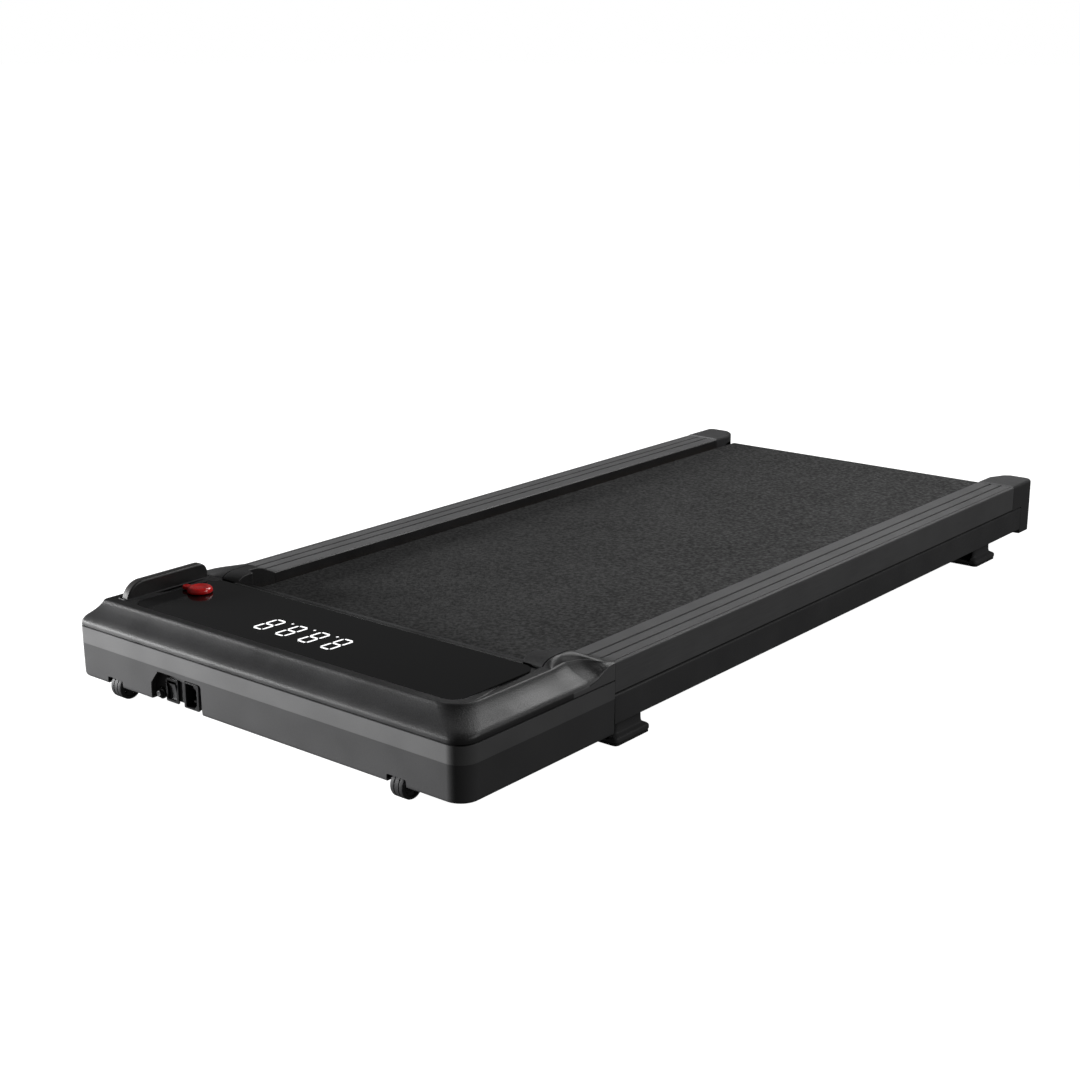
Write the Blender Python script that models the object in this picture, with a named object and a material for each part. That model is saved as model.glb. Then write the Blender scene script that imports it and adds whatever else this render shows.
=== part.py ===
"""Under-desk walking treadmill: front hood with display, side rails, deck, belt, drive and feet.

Metres, +Z up.  The floor is z = 0, the hood faces -Y and the walker stands on the belt facing -Y.
"""
import math

import bmesh
import bpy
from mathutils import Vector

# ---------------------------------------------------------------- driving sizes
HALF_W = 0.260                  # belt centreline to the outer face of the rails
HOOD_LEFT = 0.270               # belt centreline to the left face of the hood, which holds the remote
CENTRE_X = (HOOD_LEFT - HALF_W) / 2     # belt centreline, right of the middle of the footprint
FRONT_Y = -0.578                # front wall of the hood
REAR_Y = 0.578                  # rear face of the end caps
GAP = 0.0003                    # running gap between neighbouring pieces
WALL = 0.0025                   # moulded plastic wall

# heights above the floor
HOOD_BOTTOM = 0.0165
CREASE_Z = 0.053                # bend between the two bands of the front wall
SPLIT_Z = 0.0710                # top of the base tray
COVER_Z = 0.0718                # bottom edge of the cover
PLATEAU_Z = 0.094               # flat top of the hood
RAIL_Z = 0.089                  # top of the foot rails
BEAM_Z = (0.0255, 0.0565)       # lower frame beam, bottom and top
BELT_Z = 0.0785                 # walking surface

# hood plan
RIDGE_BACK = 0.026              # ridge set back from the front wall
RIDGE_RIGHT = 0.026             # ridge set in from the right side
RIDGE_LEFT = 0.0085             # ridge set in from the left side (remote slot side)
HOOD_REAR_Y = -0.425            # rear edge of the hood over the belt
WING_END_Y = -0.362             # rear end of the wings on the rails
CORNER_R = 0.020                # upright front right corner
CORNER_LEFT_R = 0.0065          # upright front left corner

# rails and beams
RAIL_IN = 0.2085                # inner edge of the foot rails
RAIL_END_Y = 0.5172
BEAM_IN = 0.214
BEAM_FRONT_Y = -0.3615
BEAM_END_Y = 0.544

# rollers and belt
BELT_HALF = 0.2035
BELT_T = 0.0018
ROLLER_R = 0.021
ROLLER_Z = BELT_Z - BELT_T - GAP - ROLLER_R
FRONT_ROLLER_Y = -0.458
REAR_ROLLER_Y = 0.5535
AXLE_R = 0.006

# drive, on the right hand end of the front roller
MOTOR_Y = -0.530
MOTOR_R = 0.0285
MOTOR_X = (0.045, 0.160)
PULLEY_X = (0.2065, 0.2185)
DRIVE_R = 0.026
PINION_R = 0.0105
SHAFT_R = 0.004

# transport wheels, (name, centre x)
WHEEL_R = 0.0138
WHEEL_W = 0.0165
WHEEL_Y = -0.5640
WHEEL_Z = WHEEL_R
WHEELS = (("left", -0.2160), ("right", 0.1800))
NOTCH_HALF = 0.0120             # half width of the notch over a wheel
NOTCH_TOP = 0.0240

# feet, (name, centre y)
FOOT_Y = (("front", -0.326), ("rear", 0.4525))
FOOT_X = (0.2145, 0.2565)

# power corner in the front wall
PANEL_X = (-0.1575, -0.081)
PANEL_TOP = 0.048
PANEL_Y = -0.5695
ROCKER_X = -0.1325
ROCKER_Z = 0.0290
INLET_X = -0.1035
INLET_Z = 0.0295
BREAKER_X = -0.1492
BREAKER_Z = 0.0225

# remote control in its slot on the left
REMOTE_X = (-0.2505, -0.2395)
REMOTE_Y = (-0.538, -0.430)
REMOTE_Z = (0.069, 0.1105)

# display panel and safety key
SCREEN_X = (-0.2275, 0.2210)
SCREEN_Y = (-0.5430, -0.4290)
SCREEN_R = 0.016
KEY_AT = (-0.2025, -0.4725)
KEY_R = 0.0135


# ---------------------------------------------------------------- small tools
def clear_scene():
    for item in list(bpy.data.objects):
        bpy.data.objects.remove(item, do_unlink=True)


def material(name, colour, roughness, metallic=0.0):
    mat = bpy.data.materials.new(name)
    mat.use_nodes = True
    shader = mat.node_tree.nodes["Principled BSDF"]
    shader.inputs["Base Color"].default_value = (*colour, 1.0)
    shader.inputs["Roughness"].default_value = roughness
    shader.inputs["Metallic"].default_value = metallic
    return mat


def finish(name, bm, mat, smooth=False):
    """Turn a bmesh into a named object with outward normals."""
    bmesh.ops.recalc_face_normals(bm, faces=bm.faces)
    mesh = bpy.data.meshes.new(name)
    bm.to_mesh(mesh)
    bm.free()
    item = bpy.data.objects.new(name, mesh)
    bpy.context.collection.objects.link(item)
    if mat:
        item.data.materials.append(mat)
    for face in mesh.polygons:
        face.use_smooth = smooth
    if smooth:
        mesh.set_sharp_from_angle(angle=math.radians(35))
    return item


def swap(point, axis):
    """Place an (a, b, along) point so that `along` runs on the given axis."""
    a, b, along = point
    if axis == "X":
        return (along, a, b)
    if axis == "Y":
        return (a, along, b)
    return (a, b, along)


def loft(name, rings, mat, smooth=False, capped=True, looped=False):
    """Skin equal-length closed rings; cap both ends or join the last ring to the first."""
    bm = bmesh.new()
    loops = [[bm.verts.new(p) for p in ring] for ring in rings]
    pairs = list(zip(loops, loops[1:]))
    if looped:
        pairs.append((loops[-1], loops[0]))
    for low, high in pairs:
        count = len(low)
        for i in range(count):
            j = (i + 1) % count
            bm.faces.new((low[i], low[j], high[j], high[i]))
    if capped and not looped:
        bm.faces.new(loops[0])
        bm.faces.new(loops[-1])
    return finish(name, bm, mat, smooth)


def prism(name, outline, axis, start, end, mat, smooth=False):
    """Extrude a flat outline of (a, b) points along an axis."""
    rings = [[swap((a, b, along), axis) for a, b in outline] for along in (start, end)]
    return loft(name, rings, mat, smooth)


def tube(name, outer, inner, axis, start, end, mat, smooth=False):
    """Extrude the band between two outlines with equal point counts."""
    rings = []
    for outline, along in ((outer, start), (outer, end), (inner, end), (inner, start)):
        rings.append([swap((a, b, along), axis) for a, b in outline])
    return loft(name, rings, mat, smooth, looped=True)


def box(name, x, y, z, mat, bevel=0.0):
    item = prism(name, [(x[0], y[0]), (x[1], y[0]), (x[1], y[1]), (x[0], y[1])], "Z", z[0], z[1], mat)
    if bevel:
        round_edges(item, bevel)
    return item


def round_edges(item, width, segments=2):
    mod = item.modifiers.new("round", "BEVEL")
    mod.width = width
    mod.segments = segments
    mod.limit_method = "ANGLE"
    mod.angle_limit = math.radians(40)


def lathe(name, profile, axis, centre, mat, steps=40, smooth=True):
    """Revolve a closed profile of (radius, along) points about an axis through `centre` (a, b)."""
    bm = bmesh.new()
    columns = []
    for radius, along in profile:
        if radius == 0.0:
            columns.append([bm.verts.new(swap((centre[0], centre[1], along), axis))])
            continue
        ring = []
        for k in range(steps):
            angle = 2.0 * math.pi * k / steps
            a = centre[0] + radius * math.cos(angle)
            b = centre[1] + radius * math.sin(angle)
            ring.append(bm.verts.new(swap((a, b, along), axis)))
        columns.append(ring)
    for one, two in zip(columns, columns[1:] + columns[:1]):
        if len(one) == 1 and len(two) == 1:
            continue
        for k in range(steps):
            n = (k + 1) % steps
            corners = [one[k % len(one)], one[n % len(one)], two[n % len(two)], two[k % len(two)]]
            unique = list(dict.fromkeys(corners))
            bm.faces.new(unique)
    return finish(name, bm, mat, smooth)


def rod(name, radius, axis, centre, start, end, mat, steps=32, edge=0.0):
    """Plain cylinder, with optional chamfered ends."""
    if edge:
        profile = [(0.0, start), (radius - edge, start), (radius, start + edge),
                   (radius, end - edge), (radius - edge, end), (0.0, end)]
    else:
        profile = [(0.0, start), (radius, start), (radius, end), (0.0, end)]
    return lathe(name, profile, axis, centre, mat, steps)


def ring_profile(outer, bore, start, end, edge=0.0006):
    """Section of a wheel or pulley with chamfered rims."""
    return [(bore, start), (outer - edge, start), (outer, start + edge),
            (outer, end - edge), (outer - edge, end), (bore, end)]


def round_rect(x, y, radius, steps=4):
    """Outline of a rectangle with rounded corners, counter-clockwise."""
    corners = ((x[1] - radius, y[1] - radius, 0), (x[0] + radius, y[1] - radius, 90),
               (x[0] + radius, y[0] + radius, 180), (x[1] - radius, y[0] + radius, 270))
    points = []
    for cx, cy, start in corners:
        for k in range(steps + 1):
            angle = math.radians(start + 90.0 * k / steps)
            points.append((cx + radius * math.cos(angle), cy + radius * math.sin(angle)))
    return points


def cut(item, cutter, operation="DIFFERENCE"):
    """Boolean with a hidden helper solid."""
    cutter.hide_render = True
    cutter.display_type = "WIRE"
    mod = item.modifiers.new(cutter.name, "BOOLEAN")
    mod.operation = operation
    mod.solver = "EXACT"
    mod.object = cutter


def set_origin(item, point):
    """Move the origin to a world point and leave the mesh where it is."""
    offset = Vector(point)
    for vert in item.data.vertices:
        vert.co -= offset
    item.location = offset


# ---------------------------------------------------------------- materials
def make_materials():
    return {
        "hood": material("hood_plastic", (0.125, 0.125, 0.127), 0.55),
        "base": material("base_plastic", (0.16, 0.16, 0.162), 0.55),
        "gloss": material("gloss_black", (0.012, 0.012, 0.013), 0.12),
        "rail": material("rail_plastic", (0.10, 0.10, 0.102), 0.5),
        "steel": material("painted_steel", (0.035, 0.035, 0.037), 0.45, 0.2),
        "bright": material("bright_steel", (0.55, 0.55, 0.56), 0.3, 1.0),
        "belt": material("belt_pvc", (0.035, 0.035, 0.036), 0.85),
        "wood": material("deck_board", (0.32, 0.21, 0.12), 0.7),
        "rubber": material("rubber", (0.015, 0.015, 0.015), 0.9),
        "red": material("key_red", (0.60, 0.01, 0.012), 0.15),
        "black": material("black_plastic", (0.02, 0.02, 0.021), 0.4),
        "green": material("circuit_board", (0.01, 0.12, 0.05), 0.5),
        "alu": material("aluminium", (0.6, 0.6, 0.61), 0.35, 1.0),
        "white": material("white_plastic", (0.7, 0.7, 0.7), 0.45),
    }


# ---------------------------------------------------------------- hood
# one entry per level of the cover: set-back from the front, share of the side set-in, height
HOOD_LEVELS = (
    (0.0000, 0.00, COVER_Z),
    (0.0012, 0.00, 0.0762),
    (0.0055, 0.12, 0.0800),
    (0.0115, 0.40, 0.0830),
    (0.0175, 0.66, 0.0864),
    (0.0225, 0.88, 0.0905),
    (0.0248, 0.97, 0.0932),
    (RIDGE_BACK, 1.02, PLATEAU_Z),
)

# along each wing: y, set-in of the ridge on the right and on the left, share of the side scoop still
# open, height of the ridge, height of the inner lip, reach of that lip over the belt
WING = (
    (HOOD_REAR_Y, RIDGE_RIGHT, RIDGE_LEFT, 1.00, 0.0940, 0.0938, 0.0105),
    (-0.4215, 0.0265, RIDGE_LEFT, 1.00, 0.0940, 0.0965, 0.0105),
    (-0.4160, 0.0275, RIDGE_LEFT, 1.00, 0.0940, 0.0988, 0.0105),
    (-0.4090, 0.0285, 0.0090, 1.00, 0.0940, 0.0999, 0.0105),
    (-0.4030, 0.0290, 0.0100, 0.98, 0.0940, 0.1000, 0.0105),
    (-0.3990, 0.0280, 0.0110, 0.95, 0.0940, 0.1000, 0.0000),
    (-0.3880, 0.0235, 0.0150, 0.80, 0.0938, 0.0998, 0.0000),
    (-0.3800, 0.0175, 0.0120, 0.52, 0.0930, 0.0980, 0.0000),
    (-0.3720, 0.0090, 0.0070, 0.22, 0.0912, 0.0940, 0.0000),
    (WING_END_Y, 0.0020, 0.0015, 0.05, 0.0893, 0.0893, 0.0000),
)
REAR_LIP_Z = 0.0812             # underside of the hood edge over the belt
LIP_LEVEL = 3                   # first cover level that leans in over the belt


def corner_arc(x, y, radius, start, steps=6):
    """Quarter circle about (x, y), counter-clockwise from `start` degrees."""
    points = []
    for k in range(steps + 1):
        angle = math.radians(start + 90.0 * k / steps)
        points.append((x + radius * math.cos(angle), y + radius * math.sin(angle)))
    return points


def front_corners(left, right, front, left_radius, right_radius):
    """Plan of the two rounded front corners."""
    return (corner_arc(left + left_radius, front + left_radius, left_radius, 180)
            + corner_arc(right - right_radius, front + right_radius, right_radius, 270))


def hood_outline(level, inset):
    """One closed ring of the cover at a level, moved inwards by `inset`."""
    back, share, height = HOOD_LEVELS[level]
    bottom = level == 0
    drop = 0.0 if bottom else inset
    plan = front_corners(-HOOD_LEFT + share * RIDGE_LEFT + inset, HALF_W - share * RIDGE_RIGHT - inset,
                         FRONT_Y + back + inset, CORNER_LEFT_R - 0.10 * back - inset,
                         CORNER_R + 0.35 * back - inset)
    points = [(x, y, height - drop) for x, y in plan]
    points += wing_points(level, inset, 1.0)
    points += wing_points(level, inset, -1.0)
    return points


def hood_half(side, y):
    """Outer face of the hood: drawn in to the width of the rails along the left wing."""
    if side > 0:
        return HALF_W
    return HALF_W + (HOOD_LEFT - HALF_W) * (WING_END_Y - y) / (WING_END_Y - HOOD_REAR_Y)


def wing_points(level, inset, side):
    """Points round one wing: outer edge front to rear, then inner edge back to the hood."""
    share, height = HOOD_LEVELS[level][1:]
    bottom = level == 0
    drop = 0.0 if bottom else inset
    rise = (height - COVER_Z) / (PLATEAU_Z - COVER_Z)
    outer = []
    inner = []
    for y, right_in, left_in, scoop, ridge_z, edge_z, lean in WING:
        ridge = right_in if side > 0 else left_in
        x = side * (hood_half(side, y) - share * ridge - inset)
        z = COVER_Z if bottom else ridge_z - (PLATEAU_Z - height) * scoop - drop
        yy = y - inset
        outer.append((x, yy, z))
        edge = RAIL_IN + inset - (lean if level >= LIP_LEVEL else 0.0)
        inner.append((side * edge, yy, COVER_Z if bottom else COVER_Z + (edge_z - COVER_Z) * rise - drop))
    lip_z = REAR_LIP_Z + (PLATEAU_Z - REAR_LIP_Z) * rise
    inner.reverse()
    edge_y = HOOD_REAR_Y - inset
    edge_x = RAIL_IN - 0.003 - (WING[0][6] if level >= LIP_LEVEL else 0.0)
    inner.append((side * edge_x, edge_y, REAR_LIP_Z if bottom else lip_z - drop))
    points = outer + inner
    if side < 0:
        points.reverse()
    return points


def cap_cover(bm, ring):
    """Close the top of a cover ring: flat plateau plus the humped wings."""
    count = len(WING)
    right = 14
    left = right + 2 * count + 1
    plateau = ring[:right + 1]
    plateau += [ring[right + 2 * count - 1], ring[right + 2 * count]]
    plateau += [ring[left], ring[left + 1], ring[left + 2 * count]]
    bm.faces.new(plateau)
    for start in (right, left + 1):
        for k in range(count - 1):
            a, b = start + k, start + 2 * count - 1 - k
            bm.faces.new((ring[a], ring[a + 1], ring[b - 1], ring[b]))


def hood_cover(mats):
    bm = bmesh.new()
    skins = []
    for inset in (0.0, WALL):
        skins.append([[bm.verts.new(p) for p in hood_outline(level, inset)]
                      for level in range(len(HOOD_LEVELS))])
    for rings in skins:
        for low, high in zip(rings, rings[1:]):
            for i in range(len(low)):
                j = (i + 1) % len(low)
                bm.faces.new((low[i], low[j], high[j], high[i]))
        cap_cover(bm, rings[-1])
    outer, inner = skins[0][0], skins[1][0]
    for i in range(len(outer)):
        j = (i + 1) % len(outer)
        bm.faces.new((outer[i], outer[j], inner[j], inner[i]))
    cover = finish("hood_cover", bm, mats["hood"], smooth=True)
    recess = round_rect((SCREEN_X[0] - GAP, SCREEN_X[1] + GAP),
                        (SCREEN_Y[0] - GAP, SCREEN_Y[1] + GAP), SCREEN_R + GAP, 6)
    cut(cover, prism("cut_screen", recess, "Z", PLATEAU_Z - 0.0016, PLATEAU_Z + 0.01, None))
    slot = ((REMOTE_X[0] - 0.0006, REMOTE_X[1] + 0.0006), (REMOTE_Y[0] - 0.002, REMOTE_Y[1] + 0.002))
    cut(cover, prism("cut_slot", round_rect(slot[0], slot[1], 0.003), "Z", 0.075, 0.11, None))
    return cover


def hood_base(mats):
    """Open tray: floor, front wall in two bands and two side walls."""
    rings = []
    # height, set-in all round, extra rounding on the left
    levels = ((HOOD_BOTTOM, 0.0020, 0.0042), (HOOD_BOTTOM + 0.0010, 0.0010, 0.0018),
              (HOOD_BOTTOM + 0.0035, 0.0006, 0.0), (CREASE_Z, 0.0, 0.0), (SPLIT_Z, 0.0, 0.0))
    for z, inset, sole in levels:
        left = -HOOD_LEFT + inset + sole
        half = HALF_W - inset
        ring = front_corners(left, half, FRONT_Y + inset, CORNER_LEFT_R - inset, CORNER_R - inset)
        ring += [(half, WING_END_Y), (RAIL_IN, WING_END_Y), (RAIL_IN, HOOD_REAR_Y),
                 (-RAIL_IN, HOOD_REAR_Y), (-RAIL_IN, WING_END_Y), (-half, WING_END_Y), (left, HOOD_REAR_Y)]
        rings.append([(x, y, z) for x, y in ring])
    base = loft("hood_base", rings, mats["base"], smooth=True)
    left, half = -HOOD_LEFT + WALL, HALF_W - WALL
    hollow = front_corners(left, half, FRONT_Y + 0.0018, CORNER_LEFT_R - WALL, CORNER_R - WALL)
    hollow += [(half, 0.0), (-half, 0.0), (-half, WING_END_Y), (left, HOOD_REAR_Y)]
    cut(base, prism("cut_tray", hollow, "Z", HOOD_BOTTOM + 0.0022, 0.1, None))
    for side, x in WHEELS:
        cut(base, box("cut_wheel_" + side, (x - NOTCH_HALF, x + NOTCH_HALF),
                      (FRONT_Y - 0.01, WHEEL_Y + WHEEL_R + 0.0018), (0.0, NOTCH_TOP), None))
    opening = [(PANEL_X[0] - 0.0015, 0.0), (PANEL_X[0], 0.034), (PANEL_X[0] + 0.0115, PANEL_TOP),
               (PANEL_X[1], PANEL_TOP), (PANEL_X[1], 0.0)]
    cut(base, prism("cut_power", opening, "Y", FRONT_Y - 0.01, -0.5665, None))
    cut(base, box("cut_power_floor", (PANEL_X[0] + 0.004, PANEL_X[1] - 0.002), (-0.5670, -0.5475),
                  (0.0, HOOD_BOTTOM + 0.004), None))
    return base


def display(mats):
    outline = round_rect(SCREEN_X, SCREEN_Y, SCREEN_R, 6)
    prism("display_panel", outline, "Z", PLATEAU_Z - 0.0013, PLATEAU_Z - 0.0002, mats["gloss"])
    box("display_module", (-0.085, 0.050), (-0.524, -0.478), (0.0866, 0.0909), mats["green"])


def safety_key(mats):
    """Domed magnetic disc with a small lanyard tab on its outer side."""
    low = PLATEAU_Z + GAP
    profile = [(0.0, low), (KEY_R - 0.0012, low), (KEY_R, low + 0.0015), (KEY_R - 0.0008, low + 0.0042),
               (KEY_R - 0.004, low + 0.0058), (0.0, low + 0.0064)]
    key = lathe("safety_key", profile, "Z", KEY_AT, mats["red"])
    tab = round_rect((KEY_AT[0] - 0.0235, KEY_AT[0] - 0.008),
                     (KEY_AT[1] - 0.0065, KEY_AT[1] + 0.0025), 0.004)
    cut(key, prism("key_tab", tab, "Z", low + 0.0004, low + 0.0042, None), "UNION")
    set_origin(key, (KEY_AT[0], KEY_AT[1], low))


# ---------------------------------------------------------------- remote control
def remote_outline():
    """Side view of the handset: y along, z up, with uneven rounded top corners."""
    corners = ((REMOTE_Y[0], REMOTE_Z[0], 0.006, 180), (REMOTE_Y[1], REMOTE_Z[0], 0.006, 270),
               (REMOTE_Y[1], REMOTE_Z[1], 0.011, 0), (REMOTE_Y[0], REMOTE_Z[1], 0.022, 90))
    points = []
    for y, z, radius, start in corners:
        cy = y + radius if start in (90, 180) else y - radius
        cz = z + radius if start in (180, 270) else z - radius
        for k in range(6):
            angle = math.radians(start + 18.0 * k)
            points.append((cy + radius * math.cos(angle), cz + radius * math.sin(angle)))
    return points


def remote(mats):
    """Handset with its three keys on the face that hides in the slot."""
    body = prism("remote_body", remote_outline(), "X", REMOTE_X[0], REMOTE_X[1], mats["black"], True)
    round_edges(body, 0.0012)
    key_z = REMOTE_Z[0] + 0.013
    names = ("remote_key_slower", "remote_key_start", "remote_key_faster")
    for name, y in zip(names, (-0.506, -0.484, -0.462)):
        cut(body, rod(name + "_hole", 0.0063, "X", (y, key_z), REMOTE_X[1] - 0.0042, 0.0, None, 24))
        key = rod(name, 0.006, "X", (y, key_z), REMOTE_X[1] - 0.0026, REMOTE_X[1] - 0.0002,
                  mats["white"], 24, 0.0004)
        set_origin(key, (REMOTE_X[1] - 0.0002, y, key_z))
    set_origin(body, (sum(REMOTE_X) / 2, sum(REMOTE_Y) / 2, REMOTE_Z[0]))


def remote_cradle(mats):
    """Bin under the slot that holds the handset upright."""
    top = PLATEAU_Z - WALL - GAP
    cradle = box("remote_cradle", (REMOTE_X[0] - 0.0018, REMOTE_X[1] + 0.0018),
                 (REMOTE_Y[0] - 0.0035, REMOTE_Y[1] + 0.0035), (REMOTE_Z[0] - 0.0025, top), mats["black"])
    cut(cradle, box("cut_cradle", (REMOTE_X[0] - GAP, REMOTE_X[1] + GAP),
                    (REMOTE_Y[0] - 0.0015, REMOTE_Y[1] + 0.0015), (REMOTE_Z[0] - GAP, 0.12), None))


# ---------------------------------------------------------------- frame
def rail_section():
    """Cross section of the right foot rail: ribbed top, two skirts and a middle web."""
    groove = 0.0012
    top = [(RAIL_IN, RAIL_Z - 0.001), (RAIL_IN + 0.001, RAIL_Z)]
    for start, end in ((0.2252, 0.2284), (0.2401, 0.2429), (0.2545, 0.2556)):
        top += [(start, RAIL_Z), (start, RAIL_Z - groove), (end, RAIL_Z - groove), (end, RAIL_Z)]
    top += [(HALF_W - 0.0015, RAIL_Z), (HALF_W, RAIL_Z - 0.0015)]
    under = RAIL_Z - 0.0040
    foot = BEAM_Z[1] + GAP
    return top + [
        (HALF_W, 0.0585), (0.2520, 0.0585), (0.2520, foot), (0.2495, foot), (0.2495, 0.0607),
        (HALF_W - WALL, 0.0607), (HALF_W - WALL, under), (0.2310, under), (0.2310, foot),
        (0.2285, foot), (0.2285, under), (RAIL_IN + 0.002, under), (RAIL_IN + 0.002, 0.0625),
        (RAIL_IN, 0.0625)]


def mirror(outline, side):
    """Flip an (x, ...) outline to the left side when side is -1."""
    return [(side * point[0],) + tuple(point[1:]) for point in outline]


def rails_and_beams(mats):
    for name, side in (("left", -1), ("right", 1)):
        prism("rail_" + name, mirror(rail_section(), side), "Y", WING_END_Y + GAP, RAIL_END_Y,
              mats["rail"])
        outer = round_rect((BEAM_IN, HALF_W), BEAM_Z, 0.002, 2)
        inner = round_rect((BEAM_IN + 0.002, HALF_W - 0.002),
                           (BEAM_Z[0] + 0.002, BEAM_Z[1] - 0.002), 0.001, 2)
        tube("beam_" + name, mirror(outer, side), mirror(inner, side), "Y", BEAM_FRONT_Y, BEAM_END_Y,
             mats["steel"])


def cross_members(mats):
    half = BEAM_IN - GAP
    outer = (0.0365, 0.0615)
    for k, y in enumerate((-0.345, 0.080, 0.495), start=1):
        big = round_rect((y - 0.0125, y + 0.0125), outer, 0.002, 2)
        small = round_rect((y - 0.0107, y + 0.0107), (outer[0] + 0.0018, outer[1] - 0.0018), 0.001, 2)
        tube("cross_member_%d" % k, big, small, "X", -half, half, mats["steel"])


def deck(mats):
    box("deck", (-0.2065, 0.2065), (-0.430, 0.526), (0.0644, BELT_Z - BELT_T - GAP), mats["wood"], 0.0015)
    for name, side in (("left", -1), ("right", 1)):
        span = sorted((side * 0.160, side * 0.190))
        box("deck_cushion_" + name, span, (-0.3575, 0.5075), (0.0615 + GAP, 0.0644 - GAP), mats["rubber"])


def front_subframe(mats):
    """Bent sheet that carries the front roller and the motor ahead of the beams."""
    low = HOOD_BOTTOM + 0.0026
    plate = box("front_subframe", (-0.2245, 0.2245), (-0.5265, -0.490), (low, low + 0.0024), mats["steel"])
    for name, side in (("left", -1), ("right", 1)):
        cheek = sorted((side * 0.2215, side * 0.2245))
        cut(plate, box("cheek_" + name, cheek, (-0.505, BEAM_FRONT_Y - 0.0006), (low, 0.068), None), "UNION")
        plug = sorted((side * 0.2225, side * 0.2555))
        cut(plate, box("plug_" + name, plug, (BEAM_FRONT_Y - 0.0025, BEAM_FRONT_Y + 0.0065),
                       (BEAM_Z[0] + 0.003, BEAM_Z[1] - 0.003), None), "UNION")
    cut(plate, rod("cut_axle", AXLE_R + GAP, "X", (FRONT_ROLLER_Y, ROLLER_Z), -0.3, 0.3, None, 24))


# ---------------------------------------------------------------- rollers and belts
def stadium(radius, steps=14):
    """Loop round both belt rollers, as (y, z) points."""
    points = []
    for centre, start in ((REAR_ROLLER_Y, -90), (FRONT_ROLLER_Y, 90)):
        for k in range(steps + 1):
            angle = math.radians(start + 180.0 * k / steps)
            points.append((centre + radius * math.cos(angle), ROLLER_Z + radius * math.sin(angle)))
    return points


def drive_loop(extra, steps=18):
    """Loop round the drive pulley and the motor pulley, `extra` outside their rims."""
    big, small = DRIVE_R + extra, PINION_R + extra
    lean = math.asin((big - small) / (FRONT_ROLLER_Y - MOTOR_Y))
    turn = math.pi / 2 + lean
    points = []
    for k in range(steps + 1):
        angle = -turn + 2.0 * turn * k / steps
        points.append((FRONT_ROLLER_Y + big * math.cos(angle), ROLLER_Z + big * math.sin(angle)))
    for k in range(steps + 1):
        angle = turn + (2.0 * math.pi - 2.0 * turn) * k / steps
        points.append((MOTOR_Y + small * math.cos(angle), ROLLER_Z + small * math.sin(angle)))
    return points


def roller_profile():
    """Hollow roller with a hub in each end."""
    half, bore, hub, shell = BELT_HALF, AXLE_R + 0.0004, 0.012, ROLLER_R - 0.002
    return [(bore, -half), (ROLLER_R, -half), (ROLLER_R, half), (bore, half), (bore, half - hub),
            (shell, half - hub), (shell, -half + hub), (bore, -half + hub)]


def rollers_and_belts(mats):
    tube("walking_belt", stadium(ROLLER_R + GAP + BELT_T), stadium(ROLLER_R + GAP), "X",
         -BELT_HALF, BELT_HALF, mats["belt"], smooth=True)
    tube("drive_belt", drive_loop(GAP + 0.0024), drive_loop(GAP), "X",
         PULLEY_X[0] + 0.001, PULLEY_X[1] - 0.001, mats["rubber"], smooth=True)
    for name, y in (("front", FRONT_ROLLER_Y), ("rear", REAR_ROLLER_Y)):
        roller = lathe(name + "_roller", roller_profile(), "X", (y, ROLLER_Z), mats["bright"])
        set_origin(roller, (0.0, y, ROLLER_Z))
    rod("front_axle", AXLE_R, "X", (FRONT_ROLLER_Y, ROLLER_Z), -0.2275, 0.2275, mats["bright"], 24, 0.0006)
    rod("rear_axle", AXLE_R, "X", (REAR_ROLLER_Y, ROLLER_Z), -0.2485, 0.2485, mats["bright"], 24, 0.0006)
    pulley = lathe("drive_pulley", ring_profile(DRIVE_R, AXLE_R + 0.0004, *PULLEY_X), "X",
                   (FRONT_ROLLER_Y, ROLLER_Z), mats["alu"], 32)
    set_origin(pulley, (PULLEY_X[0], FRONT_ROLLER_Y, ROLLER_Z))


# ---------------------------------------------------------------- motor and electronics
def motor(mats):
    axis = (MOTOR_Y, ROLLER_Z)
    start, end = MOTOR_X
    inner = MOTOR_R - 0.005
    bore = SHAFT_R + GAP
    can = [(bore, start), (MOTOR_R - 0.002, start), (MOTOR_R, start + 0.002), (MOTOR_R, end - 0.002),
           (MOTOR_R - 0.002, end), (bore, end), (bore, end - 0.006), (inner, end - 0.006),
           (inner, start + 0.006), (bore, start + 0.006)]
    lathe("motor_body", can, "X", axis, mats["black"], 28)
    core = inner - 0.0008
    rotor = [(0.0, start - 0.020), (SHAFT_R, start - 0.020), (SHAFT_R, start + 0.010), (core, start + 0.010),
             (core, end - 0.010), (SHAFT_R, end - 0.010), (SHAFT_R, 0.2200), (0.0, 0.2200)]
    fan = ring_profile(0.026, bore, start - 0.018, start - 0.006)
    turning = (
        lathe("motor_rotor", rotor, "X", axis, mats["bright"], 28),
        lathe("motor_fan", fan, "X", axis, mats["white"], 28),
        lathe("motor_pulley", ring_profile(PINION_R, bore, *PULLEY_X), "X", axis, mats["alu"], 28),
    )
    for item in turning:
        set_origin(item, (start, MOTOR_Y, ROLLER_Z))
    low = HOOD_BOTTOM + 0.0053
    seat = [(MOTOR_Y - 0.002, low), (MOTOR_Y + 0.034, low), (MOTOR_Y + 0.034, low + 0.010)]
    for k in range(9):
        angle = math.radians(322.0 - 13.0 * k)
        seat.append((MOTOR_Y + (MOTOR_R + GAP) * math.cos(angle),
                     ROLLER_Z + (MOTOR_R + GAP) * math.sin(angle)))
    seat.append((seat[-1][0], low))
    prism("motor_bracket", seat[1:], "X", 0.070, 0.135, mats["steel"])


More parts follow.
